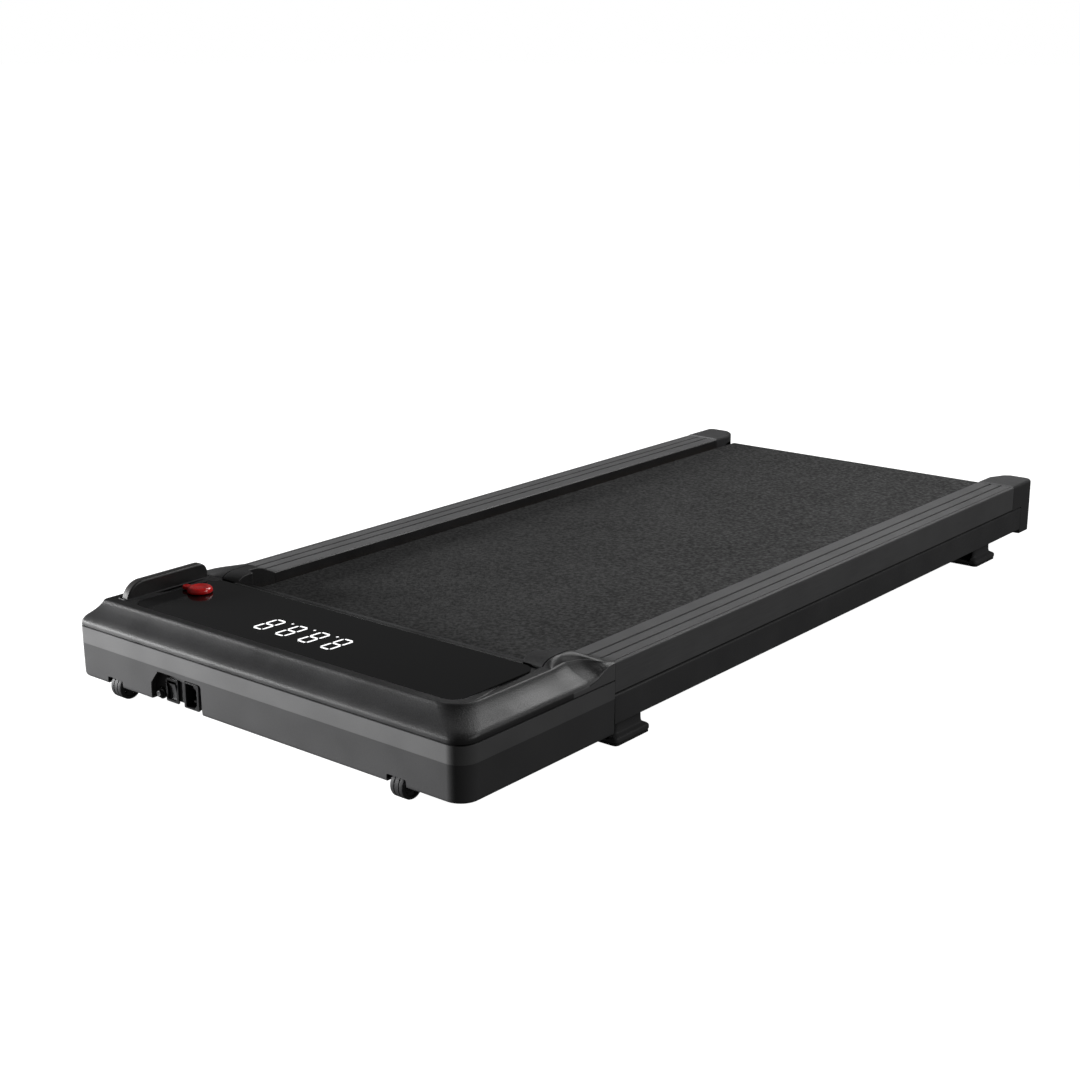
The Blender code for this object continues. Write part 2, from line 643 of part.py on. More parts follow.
def controller(mats):
    low = HOOD_BOTTOM + 0.0055
    box("controller_board", (-0.185, -0.020), (-0.535, -0.492), (low, low + 0.0016), mats["green"])
    base = low + 0.0019
    depth = (-0.531, -0.496)
    fins = [(-0.120, base), (-0.040, base)]
    for k in range(7):
        x = -0.040 - 0.012 * k
        fins += [(x, base + 0.026), (x - 0.008, base + 0.026)]
        if k < 6:
            fins += [(x - 0.008, base + 0.005), (x - 0.012, base + 0.005)]
    prism("heat_sink", fins, "Y", *depth, mats["alu"])


def power_corner(mats):
    """Recessed panel with the rocker switch, mains inlet and reset breaker."""
    left, right = PANEL_X[0] - 0.003, PANEL_X[1] + 0.003
    face = PANEL_Y
    back = FRONT_Y + 0.0018 + GAP
    panel = box("power_panel", (left, right), (back, face + 0.002),
                (HOOD_BOTTOM + 0.0026, PANEL_TOP + 0.003), mats["black"])
    cut(panel, box("cut_recess", (PANEL_X[0] - 0.0012, PANEL_X[1] + 0.0012), (-0.60, face),
                   (0.0, PANEL_TOP + 0.0012), None))
    cut(panel, box("cut_rocker", (ROCKER_X - 0.0083, ROCKER_X + 0.0083), (-0.60, -0.50),
                   (0.0, ROCKER_Z + 0.0110), None))
    cut(panel, box("cut_inlet", (INLET_X - 0.0103, INLET_X + 0.0103), (-0.60, -0.50),
                   (0.0, INLET_Z + 0.0134), None))
    cut(panel, box("cut_breaker", (BREAKER_X - 0.0053, BREAKER_X + 0.0053), (-0.60, -0.50),
                   (0.0, BREAKER_Z + 0.0054), None))
    rocker_switch(mats, face)
    inlet(mats, face)
    breaker(mats, face)


def rocker_switch(mats, face):
    x, z = ROCKER_X, ROCKER_Z
    housing = box("rocker_housing", (x - 0.0095, x + 0.0095), (face - 0.0023, face - GAP),
                  (z - 0.0125, z + 0.0125), mats["black"])
    cut(housing, box("rocker_can", (x - 0.008, x + 0.008), (face - 0.0020, face + 0.014),
                     (z - 0.0107, z + 0.0107), None), "UNION")
    cut(housing, box("cut_can", (x - 0.0068, x + 0.0068), (face - 0.01, face + 0.0115),
                     (z - 0.0100, z + 0.0100), None))
    tilt = math.radians(10.0)
    pivot = face + 0.003
    reach, depth = 0.0090, 0.0052
    outline = []
    for along, out in ((-reach, -depth), (0.0, -depth + 0.0022), (reach, -depth),
                       (0.004, 0.004), (-0.004, 0.004)):
        outline.append((pivot + out * math.cos(tilt) - along * math.sin(tilt),
                        z + along * math.cos(tilt) + out * math.sin(tilt)))
    rocker = prism("power_rocker", outline, "X", x - 0.0064, x + 0.0064, mats["red"])
    set_origin(rocker, (x, pivot, z))


def inlet(mats, face):
    """Three-pin mains inlet, turned on its side, with two clipped corners."""
    x, z = INLET_X, INLET_Z
    body = box("ac_inlet", (x - 0.0112, x + 0.0112), (face - 0.0023, face - GAP), (z - 0.0138, z + 0.0138),
               mats["black"])
    cut(body, box("inlet_can", (x - 0.0100, x + 0.0100), (face - 0.0020, face + 0.020),
                  (z - 0.0130, z + 0.0130), None), "UNION")
    half_w, half_h, clip = 0.0083, 0.0122, 0.0045
    mouth = [(x - half_w, z - half_h), (x + half_w - clip, z - half_h), (x + half_w, z - half_h + clip),
             (x + half_w, z + half_h - clip), (x + half_w - clip, z + half_h), (x - half_w, z + half_h)]
    cut(body, prism("cut_mouth", mouth, "Y", face - 0.02, face + 0.0165, None))
    for k, (dx, dz) in enumerate(((-0.0015, -0.007), (0.0025, 0.0), (-0.0015, 0.007))):
        cut(body, box("inlet_pin_%d" % k, (x + dx - 0.002, x + dx + 0.002), (face + 0.0032, face + 0.018),
                      (z + dz - 0.001, z + dz + 0.001), None), "UNION")


def breaker(mats, face):
    axis = (BREAKER_X, BREAKER_Z)
    collar = [(0.0038, face - 0.0030), (0.0052, face - 0.0030), (0.0058, face - 0.0024),
              (0.0058, face - GAP), (0.0050, face - GAP), (0.0050, face + 0.016), (0.0, face + 0.016),
              (0.0, face + 0.010), (0.0038, face + 0.010)]
    lathe("breaker_body", collar, "Y", axis, mats["black"], 28)
    button = rod("breaker_button", 0.0035, "Y", axis, face - 0.0062, face + 0.0070, mats["white"], 24,
                 0.0005)
    set_origin(button, (BREAKER_X, face - 0.0062, BREAKER_Z))


# ---------------------------------------------------------------- wheels, feet and end caps
def wheels(mats):
    for side, x in WHEELS:
        half = WHEEL_W / 2
        wheel = lathe("wheel_" + side, ring_profile(WHEEL_R, 0.0034, x - half, x + half, 0.0015), "X",
                      (WHEEL_Y, WHEEL_Z), mats["black"], 32)
        set_origin(wheel, (x, WHEEL_Y, WHEEL_Z))
        width = half + 0.003
        floor = HOOD_BOTTOM + 0.0026
        top = WHEEL_Z + WHEEL_R + 0.0032
        behind = WHEEL_Y + WHEEL_R + 0.0012
        bracket = box("wheel_bracket_" + side, (x - width, x + width), (WHEEL_Y - 0.0055, behind + 0.004),
                      (WHEEL_Z - 0.0042, top), mats["steel"])
        cut(bracket, box("cut_fork_" + side, (x - half - 0.001, x + half + 0.001), (-0.60, behind),
                         (0.0, top - 0.0018), None))
        cut(bracket, box("cut_heel_" + side, (x - 0.02, x + 0.02), (behind, -0.50), (0.0, floor), None))
        cut(bracket, rod("axle_pin_" + side, 0.003, "X", (WHEEL_Y, WHEEL_Z), x - width, x + width,
                         None, 20), "UNION")


def feet(mats):
    for end, y in FOOT_Y:
        for name, side in (("left", -1), ("right", 1)):
            foot(mats, end + "_" + name, y, side)


def foot(mats, name, y, side):
    """Flared foot bracket on a rubber pad."""
    x0, x1 = FOOT_X
    low = 0.0030
    levels = ((low, 0.0, 0.0), (0.0062, 0.0, 0.0), (0.0086, 0.0013, 0.0013), (0.0106, 0.0050, 0.0055),
              (BEAM_Z[0] - GAP, 0.0058, 0.0065))
    rings = []
    for z, in_x, in_y in levels:
        outline = round_rect((x0 + in_x, x1 - in_x), (y - 0.028 + in_y, y + 0.028 - in_y), 0.004, 3)
        rings.append([(side * px, py, z) for px, py in outline])
    loft("foot_" + name, rings, mats["steel"])
    outline = round_rect((x0 + 0.0005, x1 - 0.0005), (y - 0.0275, y + 0.0275), 0.004, 3)
    prism("pad_" + name, mirror(outline, side), "Z", 0.0, low - GAP, mats["rubber"])


def cap_plan(inset):
    """Plan of the right end cap: inner edge cut back behind the belt, rounded outer rear corner."""
    start = RAIL_END_Y + 0.0004 + min(inset, 0.0008)
    points = [(RAIL_IN + inset, start), (HALF_W - inset, start)]
    points += corner_arc(HALF_W - 0.010, REAR_Y - 0.010, 0.010 - inset, 0, 5)
    points += [(0.2270 + 0.5 * inset, REAR_Y - inset), (0.2180 + inset, REAR_Y - 0.007 - 0.4 * inset),
               (RAIL_IN + inset, REAR_Y - 0.028 - 0.4 * inset)]
    return points


def end_caps(mats):
    low, high = 0.0205, RAIL_Z + 0.0015
    step_y = BEAM_END_Y + 0.0005
    for name, side in (("left", -1), ("right", 1)):
        rings = []
        for z, inset in ((low, 0.001), (low + 0.001, 0.0), (high - 0.0045, 0.0), (high - 0.0018, 0.0009),
                         (high - 0.0005, 0.0024), (high, 0.0042)):
            rings.append([(side * x, y, z) for x, y in cap_plan(inset)])
        cap = loft("end_cap_" + name, rings, mats["hood"], smooth=True)
        cut(cap, prism("cut_cap_" + name, mirror(cap_plan(WALL), side), "Z", low + WALL, high - WALL, None))
        cut(cap, box("cut_step_" + name, sorted((side * 0.2, side * 0.27)), (0.50, step_y),
                     (0.0, BEAM_Z[1] + 0.001), None))
        cut(cap, rod("cut_arch_" + name, 0.0245, "X", (REAR_ROLLER_Y, ROLLER_Z),
                     *sorted((side * 0.2, side * 0.2232)), None, 40))
        bolt_x = side * 0.237
        cut(cap, rod("cut_bolt_" + name, 0.0048, "Y", (bolt_x, ROLLER_Z), 0.570, 0.60, None, 20))
        block = box("tension_block_" + name, sorted((side * 0.2235, side * 0.2500)),
                    (BEAM_END_Y + GAP, 0.5640), (0.0455, 0.0653), mats["steel"])
        cut(block, rod("cut_block_" + name, AXLE_R + GAP, "X", (REAR_ROLLER_Y, ROLLER_Z),
                       *sorted((side * 0.21, side * 0.26)), None, 20))
        tension_bolt(mats, name, bolt_x)


def tension_bolt(mats, name, x):
    """Hex-socket bolt that sets the belt tension from the rear."""
    shank, head = 0.0030, 0.0044
    start, shoulder, end = 0.5645, 0.5705, 0.5765
    profile = [(0.0, start), (shank, start), (shank, shoulder), (head, shoulder), (head, end),
               (0.0025, end), (0.0025, end - 0.003), (0.0, end - 0.003)]
    bolt = lathe("tension_bolt_" + name, profile, "Y", (x, ROLLER_Z), mats["bright"], 24)
    set_origin(bolt, (x, end, ROLLER_Z))


def main():
    clear_scene()
    mats = make_materials()
    hood_cover(mats)
    hood_base(mats)
    display(mats)
    safety_key(mats)
    remote(mats)
    remote_cradle(mats)
    rails_and_beams(mats)
    cross_members(mats)
    deck(mats)
    front_subframe(mats)
    rollers_and_belts(mats)
    motor(mats)
    controller(mats)
    power_corner(mats)
    wheels(mats)
    feet(mats)
    end_caps(mats)
    for item in bpy.data.objects:
        item.location.x += CENTRE_X


main()
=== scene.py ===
"""Under-desk walking treadmill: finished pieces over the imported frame, studio light and camera."""
import math

import bmesh
import bpy
from mathutils import Matrix, Vector


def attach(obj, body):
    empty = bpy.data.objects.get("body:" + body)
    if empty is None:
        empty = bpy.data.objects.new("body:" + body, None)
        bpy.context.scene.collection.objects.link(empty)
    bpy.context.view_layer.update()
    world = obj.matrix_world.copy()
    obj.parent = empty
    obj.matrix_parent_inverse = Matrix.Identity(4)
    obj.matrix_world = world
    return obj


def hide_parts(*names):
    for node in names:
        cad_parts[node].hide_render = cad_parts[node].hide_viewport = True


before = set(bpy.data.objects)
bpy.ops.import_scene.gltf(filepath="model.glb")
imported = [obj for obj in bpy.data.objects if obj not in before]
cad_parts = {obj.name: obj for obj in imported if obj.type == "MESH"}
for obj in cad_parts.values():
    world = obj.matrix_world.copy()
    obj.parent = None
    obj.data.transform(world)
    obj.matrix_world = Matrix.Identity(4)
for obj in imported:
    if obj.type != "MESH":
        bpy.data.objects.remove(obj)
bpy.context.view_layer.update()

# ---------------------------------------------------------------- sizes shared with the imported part, metres
# pieces are drawn from the belt's centreline and moved by CENTRE_X when they are dressed
HALF_W = 0.260
HOOD_LEFT = 0.270
CENTRE_X = (HOOD_LEFT - HALF_W) / 2
FRONT_Y = -0.578
REAR_Y = 0.578
HOOD_BOTTOM = 0.0165
CREASE_Z = 0.053
SPLIT_Z = 0.0710
COVER_Z = 0.0718
PLATEAU_Z = 0.094
RAIL_Z = 0.089
BEAM_Z = (0.0255, 0.0565)
RIDGE_BACK = 0.026
RIDGE_RIGHT = 0.026
RIDGE_LEFT = 0.0085
HOOD_REAR_Y = -0.425
WING_END_Y = -0.362
CORNER_R = 0.020
CORNER_LEFT_R = 0.0065
RAIL_IN = 0.2085
RAIL_END_Y = 0.5172
BEAM_IN = 0.214
BEAM_FRONT_Y = -0.3615
BEAM_END_Y = 0.544
BELT_HALF = 0.2035
BELT_T = 0.0018
ROLLER_R = 0.0213
ROLLER_Z = 0.0554
FRONT_ROLLER_Y = -0.458
REAR_ROLLER_Y = 0.5535
WHEEL_R = 0.0138
WHEEL_W = 0.0165
WHEEL_Y = -0.5640
WHEEL_Z = WHEEL_R
WHEELS = (("left", -0.2160), ("right", 0.1800))
NOTCH_HALF = 0.0120
NOTCH_TOP = 0.0240
FOOT_Y = (("front", -0.326), ("rear", 0.4525))
FOOT_X = (0.2145, 0.2565)
PANEL_X = (-0.1575, -0.081)
PANEL_TOP = 0.048
PANEL_Y = -0.5695
ROCKER = (-0.1325, 0.0290)
INLET = (-0.1035, 0.0295)
BREAKER = (-0.1492, 0.0225)
REMOTE_X = (-0.2505, -0.2395)
REMOTE_Y = (-0.538, -0.430)
REMOTE_Z = (0.069, 0.1105)
SCREEN_X = (-0.2275, 0.2210)
SCREEN_Y = (-0.5430, -0.4290)
SCREEN_R = 0.016
KEY_AT = (-0.2025, -0.4725)
KEY_R = 0.0135

# set-back from the front, share of the side set-in and height, from the cover's bottom edge to its flat top
SCOOP = (
    (0.0000, 0.00, COVER_Z),
    (0.0012, 0.00, 0.0762),
    (0.0055, 0.12, 0.0800),
    (0.0115, 0.40, 0.0830),
    (0.0175, 0.66, 0.0864),
    (0.0225, 0.88, 0.0905),
    (0.0248, 0.97, 0.0932),
    (RIDGE_BACK, 1.02, PLATEAU_Z),
    (0.0275, 1.06, PLATEAU_Z),
)

# along each wing: y, set-in of the ridge on the right and on the left, share of the side scoop still
# open, height of the ridge, height of the inner lip, reach of that lip over the belt
WING = (
    (HOOD_REAR_Y, RIDGE_RIGHT, RIDGE_LEFT, 1.00, 0.0940, 0.0938, 0.0105),
    (-0.4215, 0.0265, RIDGE_LEFT, 1.00, 0.0940, 0.0965, 0.0105),
    (-0.4160, 0.0275, RIDGE_LEFT, 1.00, 0.0940, 0.0988, 0.0105),
    (-0.4090, 0.0285, 0.0090, 1.00, 0.0940, 0.0999, 0.0105),
    (-0.4030, 0.0290, 0.0100, 0.98, 0.0940, 0.1000, 0.0105),
    (-0.3990, 0.0280, 0.0110, 0.95, 0.0940, 0.1000, 0.0000),
    (-0.3880, 0.0235, 0.0150, 0.80, 0.0938, 0.0998, 0.0000),
    (-0.3800, 0.0175, 0.0120, 0.52, 0.0930, 0.0980, 0.0000),
    (-0.3720, 0.0090, 0.0070, 0.22, 0.0912, 0.0940, 0.0000),
    (WING_END_Y, 0.0020, 0.0015, 0.05, 0.0893, 0.0893, 0.0000),
)


# ---------------------------------------------------------------- materials
class Recipe:
    """A Principled material being put together. Textures are laid in the object's own metres."""

    def __init__(self, name, roughness, metallic=0.0, **sockets):
        self.mat = bpy.data.materials.new(name)
        self.mat.use_nodes = True
        self.tree = self.mat.node_tree
        self.shader = self.tree.nodes["Principled BSDF"]
        self.shader.inputs["Roughness"].default_value = roughness
        self.shader.inputs["Metallic"].default_value = metallic
        for label, value in sockets.items():
            self.shader.inputs[label.replace("_", " ")].default_value = value
        self.where = self.add("TexCoord").outputs["Object"]

    def add(self, kind, settings=None, **inputs):
        node = self.tree.nodes.new("ShaderNode" + kind)
        for label, value in (settings or {}).items():
            setattr(node, label, value)
        for label, value in inputs.items():
            socket = node.inputs[label.replace("_", " ")]
            if isinstance(value, bpy.types.NodeSocket):
                self.tree.links.new(value, socket)
            else:
                socket.default_value = value
        return node

    def stretched(self, scale):
        return self.add("Mapping", Vector=self.where, Scale=scale).outputs["Vector"]

    def noise(self, size, detail=2.0, stretch=(1.0, 1.0, 1.0)):
        where = self.stretched(stretch)
        return self.add("TexNoise", Vector=where, Scale=1.0 / size, Detail=detail).outputs["Fac"]

    def cells(self, size):
        return self.add("TexVoronoi", Vector=self.where, Scale=1.0 / size).outputs["Distance"]

    def ranged(self, value, low, high, to_low, to_high):
        node = self.add("MapRange", Value=value, From_Min=low, From_Max=high, To_Min=to_low, To_Max=to_high)
        return node.outputs["Result"]

    def maths(self, operation, one, two):
        node = self.add("Math", {"operation": operation})
        for socket, value in zip(node.inputs, (one, two)):
            if isinstance(value, bpy.types.NodeSocket):
                self.tree.links.new(value, socket)
            else:
                socket.default_value = value
        return node.outputs[0]

    def colour(self, value, dark, light, low=0.3, high=0.7):
        ramp = self.add("ValToRGB", Fac=value)
        for stop, position, tone in zip(ramp.color_ramp.elements, (low, high), (dark, light)):
            stop.position = position
            stop.color = (*tone, 1.0)
        self.tree.links.new(ramp.outputs["Color"], self.shader.inputs["Base Color"])

    def roughness(self, value):
        self.tree.links.new(value, self.shader.inputs["Roughness"])

    def bump(self, height, depth, strength=1.0):
        normal = self.add("Bump", Height=height, Distance=depth, Strength=strength).outputs["Normal"]
        self.tree.links.new(normal, self.shader.inputs["Normal"])


def shades(colour, spread):
    """A darker and a lighter tone round a colour."""
    return tuple(c * (1.0 - spread) for c in colour), tuple(c * (1.0 + spread) for c in colour)


def moulded(name, colour, roughness, grain=0.0009, depth=0.00006, spread=0.22, speckle=0.6, **sockets):
    """Textured injection-moulded plastic: fine grain, faint cloudy tone and uneven gloss."""
    recipe = Recipe(name, roughness, **sockets)
    fine = recipe.noise(grain, 3.0)
    cloud = recipe.noise(0.045, 3.0)
    tone = recipe.maths("ADD", recipe.maths("MULTIPLY", fine, speckle),
                        recipe.maths("MULTIPLY", cloud, 1.0 - speckle))
    recipe.colour(tone, *shades(colour, spread))
    recipe.roughness(recipe.ranged(cloud, 0.35, 0.65, roughness - 0.05, roughness + 0.05))
    recipe.bump(fine, depth)
    return recipe.mat


def satin_rail(name, colour):
    """Extruded foot rail: fine lengthwise drawing lines under a satin finish."""
    recipe = Recipe(name, 0.42, Specular_IOR_Level=0.15)
    lines = recipe.noise(0.0011, 3.0, (1.0, 0.03, 1.0))
    cloud = recipe.noise(0.06, 2.0)
    tone = recipe.maths("ADD", recipe.maths("MULTIPLY", lines, 0.6), recipe.maths("MULTIPLY", cloud, 0.4))
    recipe.colour(tone, *shades(colour, 0.16))
    recipe.roughness(recipe.ranged(lines, 0.3, 0.7, 0.36, 0.50))
    recipe.bump(lines, 0.00003)
    return recipe.mat


def belt_top(name):
    """PVC running surface: irregular pebbles with matt hollows between them."""
    recipe = Recipe(name, 0.85, Specular_IOR_Level=0.3)
    pebble = recipe.cells(0.0024)
    coarse = recipe.noise(0.0042, 4.0)
    cloud = recipe.noise(0.09, 2.0)
    height = recipe.maths("ADD", recipe.maths("MULTIPLY", pebble, -0.6), coarse)
    tone = recipe.maths("ADD", recipe.maths("MULTIPLY", coarse, 0.8), recipe.maths("MULTIPLY", cloud, 0.2))
    recipe.colour(tone, (0.008, 0.008, 0.008), (0.035, 0.035, 0.035), 0.36, 0.66)
    recipe.roughness(recipe.ranged(coarse, 0.35, 0.65, 0.92, 0.62))
    recipe.bump(height, 0.0005)
    return recipe.mat


def belt_under(name):
    """Woven polyester back of the belt."""
    recipe = Recipe(name, 0.9)
    warp = recipe.add("TexWave", {"bands_direction": "X"}, Vector=recipe.where, Scale=330.0, Distortion=0.6)
    weft = recipe.add("TexWave", {"bands_direction": "Y"}, Vector=recipe.where, Scale=330.0, Distortion=0.6)
    weave = recipe.maths("MULTIPLY", warp.outputs["Fac"], weft.outputs["Fac"])
    recipe.colour(weave, (0.05, 0.05, 0.052), (0.20, 0.20, 0.205), 0.0, 0.8)
    recipe.bump(weave, 0.0002)
    return recipe.mat


def gloss_panel(name):
    """Black acrylic over the display: mirror finish with the faintest wave and dust in it."""
    recipe = Recipe(name, 0.10, Specular_IOR_Level=0.25)
    wave = recipe.noise(0.05, 1.0)
    dust = recipe.noise(0.0007, 4.0)
    recipe.colour(dust, (0.0052, 0.0052, 0.0054), (0.009, 0.009, 0.0094), 0.55, 0.8)
    recipe.roughness(recipe.ranged(dust, 0.5, 0.75, 0.09, 0.22))
    recipe.bump(wave, 0.00004)
    return recipe.mat


def lit_digit(name):
    """White light-emitting segment with a faint grain in its tone."""
    recipe = Recipe(name, 0.4, Emission_Strength=0.75)
    grain = recipe.noise(0.0016, 1.0)
    recipe.colour(grain, (0.75, 0.76, 0.77), (0.92, 0.93, 0.94))
    recipe.shader.inputs["Emission Color"].default_value = (1.0, 1.0, 1.0, 1.0)
    return recipe.mat


def red_gloss(name):
    recipe = Recipe(name, 0.16, Coat_Weight=0.6, Coat_Roughness=0.06)
    cloud = recipe.noise(0.006, 2.0)
    recipe.colour(cloud, (0.72, 0.006, 0.007), (0.90, 0.014, 0.014))
    recipe.roughness(recipe.ranged(cloud, 0.3, 0.7, 0.12, 0.24))
    recipe.bump(recipe.noise(0.003, 2.0), 0.00004)
    return recipe.mat


def painted_steel(name):
    """Powder coat: orange-peel ripple and uneven gloss."""
    recipe = Recipe(name, 0.45)
    peel = recipe.noise(0.0016, 2.0)
    cloud = recipe.noise(0.05, 3.0)
    recipe.colour(cloud, (0.032, 0.032, 0.033), (0.044, 0.044, 0.045))
    recipe.roughness(recipe.ranged(peel, 0.3, 0.7, 0.36, 0.52))
    recipe.bump(peel, 0.00012)
    return recipe.mat


def turned_metal(name, colour, roughness):
    """Bright turned or drawn metal with fine rings and stains."""
    recipe = Recipe(name, roughness, 1.0)
    rings = recipe.noise(0.0006, 2.0, (1.0, 0.06, 0.06))
    stain = recipe.noise(0.012, 3.0)
    recipe.colour(stain, *shades(colour, 0.14))
    recipe.roughness(recipe.ranged(rings, 0.3, 0.7, roughness - 0.08, roughness + 0.12))
    recipe.bump(rings, 0.00003)
    return recipe.mat


def wood_board(name):
    """Deck board: long grain under a waxed film."""
    recipe = Recipe(name, 0.6)
    grain = recipe.noise(0.004, 5.0, (1.0, 0.06, 1.0))
    recipe.colour(grain, (0.16, 0.095, 0.05), (0.40, 0.27, 0.16))
    recipe.roughness(recipe.ranged(grain, 0.3, 0.7, 0.5, 0.75))
    recipe.bump(grain, 0.0001)
    return recipe.mat


def soft_rubber(name):
    recipe = Recipe(name, 0.85)
    grain = recipe.noise(0.0012, 3.0)
    dust = recipe.noise(0.02, 4.0)
    recipe.colour(dust, (0.007, 0.007, 0.007), (0.022, 0.021, 0.020))
    recipe.roughness(recipe.ranged(dust, 0.3, 0.7, 0.75, 0.95))
    recipe.bump(grain, 0.00012)
    return recipe.mat


def green_board(name):
    """Circuit board: solder mask with lighter tracks."""
    recipe = Recipe(name, 0.4)
    tracks = recipe.add("TexBrick", Vector=recipe.where, Scale=90.0)
    patches = recipe.noise(0.006, 3.0)
    recipe.colour(recipe.maths("MULTIPLY", tracks.outputs["Fac"], patches), (0.006, 0.075, 0.028),
                  (0.03, 0.20, 0.08), 0.1, 0.6)
    recipe.bump(tracks.outputs["Fac"], 0.00008)
    return recipe.mat


def make_materials():
    return {
        "hood": moulded("hood_grain", (0.019, 0.019, 0.0195), 0.42, 0.0012, 0.00022, 0.45, 0.75),
        "band": moulded("upper_band_grain", (0.090, 0.090, 0.091), 0.55, 0.0010, 0.00008, 0.10, 0.5),
        # the lower band's plastic is the upper band's made darker: painted shade for the band below the
        # crease
        "skirt": moulded("lower_band_painted_shade", (0.042, 0.042, 0.043), 0.58, 0.0010, 0.00008, 0.10, 0.5),
        "rail": satin_rail("rail_satin", (0.092, 0.092, 0.093)),
        "cap": moulded("cap_grain", (0.048, 0.048, 0.049), 0.50, 0.0010, 0.00008, 0.18, 0.6,
                       Specular_IOR_Level=0.15),
        "gloss": gloss_panel("panel_acrylic"),
        "digit": lit_digit("digit_light"),
        "red": red_gloss("key_red_gloss"),
        "remote": moulded("remote_satin", (0.020, 0.019, 0.019), 0.38, 0.0008, 0.00003, 0.25, 0.5),
        "black": moulded("black_satin", (0.014, 0.014, 0.0145), 0.42, 0.0008, 0.00004, 0.25, 0.5),
        "belt": belt_top("belt_pvc_pebble"),
        "weave": belt_under("belt_weave"),
        "steel": painted_steel("painted_steel_peel"),
        "bright": turned_metal("bright_steel_turned", (0.52, 0.52, 0.53), 0.30),
        "alu": turned_metal("aluminium_drawn", (0.62, 0.62, 0.64), 0.38),
        "rubber": soft_rubber("rubber_matt"),
        "wood": wood_board("deck_board_grain"),
        "green": green_board("board_green"),
        "white": moulded("white_plastic_fine", (0.62, 0.62, 0.61), 0.45, 0.0008, 0.00003, 0.05, 0.4),
        "tyre": moulded("wheel_tyre", (0.026, 0.026, 0.027), 0.55, 0.0010, 0.00008, 0.2, 0.5),
    }


# ---------------------------------------------------------------- mesh tools
def curve(points, t):
    """Catmull-Rom through tuples of numbers; t runs from 0 to len(points) - 1."""
    last = len(points) - 1
    k = min(int(t), last - 1)
    u = t - k
    before, one = points[max(k - 1, 0)], points[k]
    two, after = points[k + 1], points[min(k + 2, last)]
    result = []
    for a, b, c, d in zip(before, one, two, after):
        result.append(0.5 * (2 * b + (c - a) * u + (2 * a - 5 * b + 4 * c - d) * u * u
                             + (3 * b - 3 * c + d - a) * u ** 3))
    return result


def spread(start, end, count):
    """Evenly spaced values, both ends included."""
    return [start + (end - start) * k / (count - 1) for k in range(count)]


def arc(cx, cy, radius, start, end, steps):
    """Points on an arc, angles in degrees."""
    return [(cx + radius * math.cos(math.radians(a)), cy + radius * math.sin(math.radians(a)))
            for a in spread(start, end, steps + 1)]


def round_rect(x, y, radius, steps=6):
    """Rounded rectangle, counter-clockwise."""
    corners = ((x[1] - radius, y[1] - radius, 0), (x[0] + radius, y[1] - radius, 90),
               (x[0] + radius, y[0] + radius, 180), (x[1] - radius, y[0] + radius, 270))
    return [point for cx, cy, start in corners for point in arc(cx, cy, radius, start, start + 90, steps)]


def grown(span, by):
    """A (low, high) span widened at both ends."""
    return span[0] - by, span[1] + by


def place(point, axis):
    """An (a, b, along) point with `along` on the given axis."""
    a, b, along = point
    if axis == "X":
        return (along, a, b)
    if axis == "Y":
        return (a, along, b)
    return (a, b, along)


def strip(bm, low, high, closed=True, index=0):
    """Quads between two rows of vertices."""
    count = len(low) if closed else len(low) - 1
    for i in range(count):
        j = (i + 1) % len(low)
        corners = list(dict.fromkeys((low[i], low[j], high[j], high[i])))
        if len(corners) > 2:
            bm.faces.new(corners).material_index = index


def to_object(name, bm, open_skin=False):
    """A mesh object from a bmesh, faces outward; an open skin is turned by its highest face."""
    bmesh.ops.remove_doubles(bm, verts=bm.verts, dist=2e-6)
    bmesh.ops.recalc_face_normals(bm, faces=bm.faces)
    bm.normal_update()
    if open_skin:
        top = max(bm.faces, key=lambda face: (round(face.calc_center_median().z, 4), face.calc_area()))
        if top.normal.z < 0.0:
            bmesh.ops.reverse_faces(bm, faces=bm.faces)
    mesh = bpy.data.meshes.new(name)
    bm.to_mesh(mesh)
    bm.free()
    item = bpy.data.objects.new(name, mesh)
    bpy.context.scene.collection.objects.link(item)
    return item


def loft(name, rings, looped=False, indices=None):
    """Closed solid through equal rings; a looped one joins its last ring to its first."""
    bm = bmesh.new()
    rows = [[bm.verts.new(p) for p in ring] for ring in rings]
    pairs = list(zip(rows, rows[1:]))
    if looped:
        pairs.append((rows[-1], rows[0]))
    for k, (low, high) in enumerate(pairs):
        strip(bm, low, high, index=indices[k] if indices else 0)
    if not looped:
        bm.faces.new(rows[0]).material_index = indices[0] if indices else 0
        bm.faces.new(rows[-1]).material_index = indices[-1] if indices else 0
    return to_object(name, bm)


def prism(name, outline, axis, start, end):
    return loft(name, [[place((a, b, along), axis) for a, b in outline] for along in (start, end)])


def box(name, x, y, z):
    return prism(name, [(x[0], y[0]), (x[1], y[0]), (x[1], y[1]), (x[0], y[1])], "Z", z[0], z[1])


def lathe(name, profile, axis, centre, steps=64):
    """Closed (radius, along) profile turned about an axis through centre (a, b)."""
    bm = bmesh.new()
    columns = []
    for radius, along in profile:
        turns = steps if radius > 0.0 else 1
        ring = []
        for k in range(turns):
            angle = 2.0 * math.pi * k / steps
            ring.append(bm.verts.new(place((centre[0] + radius * math.cos(angle),
                                            centre[1] + radius * math.sin(angle), along), axis)))
        columns.append(ring * (steps // turns) if turns == 1 else ring)
    for one, two in zip(columns, columns[1:] + columns[:1]):
        if one[0] is one[-1] and two[0] is two[-1]:
            continue
        strip(bm, one, two)
    return to_object(name, bm)


def round_edges(item, width, segments=3, angle=40.0):
    mod = item.modifiers.new("round", "BEVEL")
    mod.width = width
    mod.segments = segments
    mod.limit_method = "ANGLE"
    mod.angle_limit = math.radians(angle)
    return bake(item)


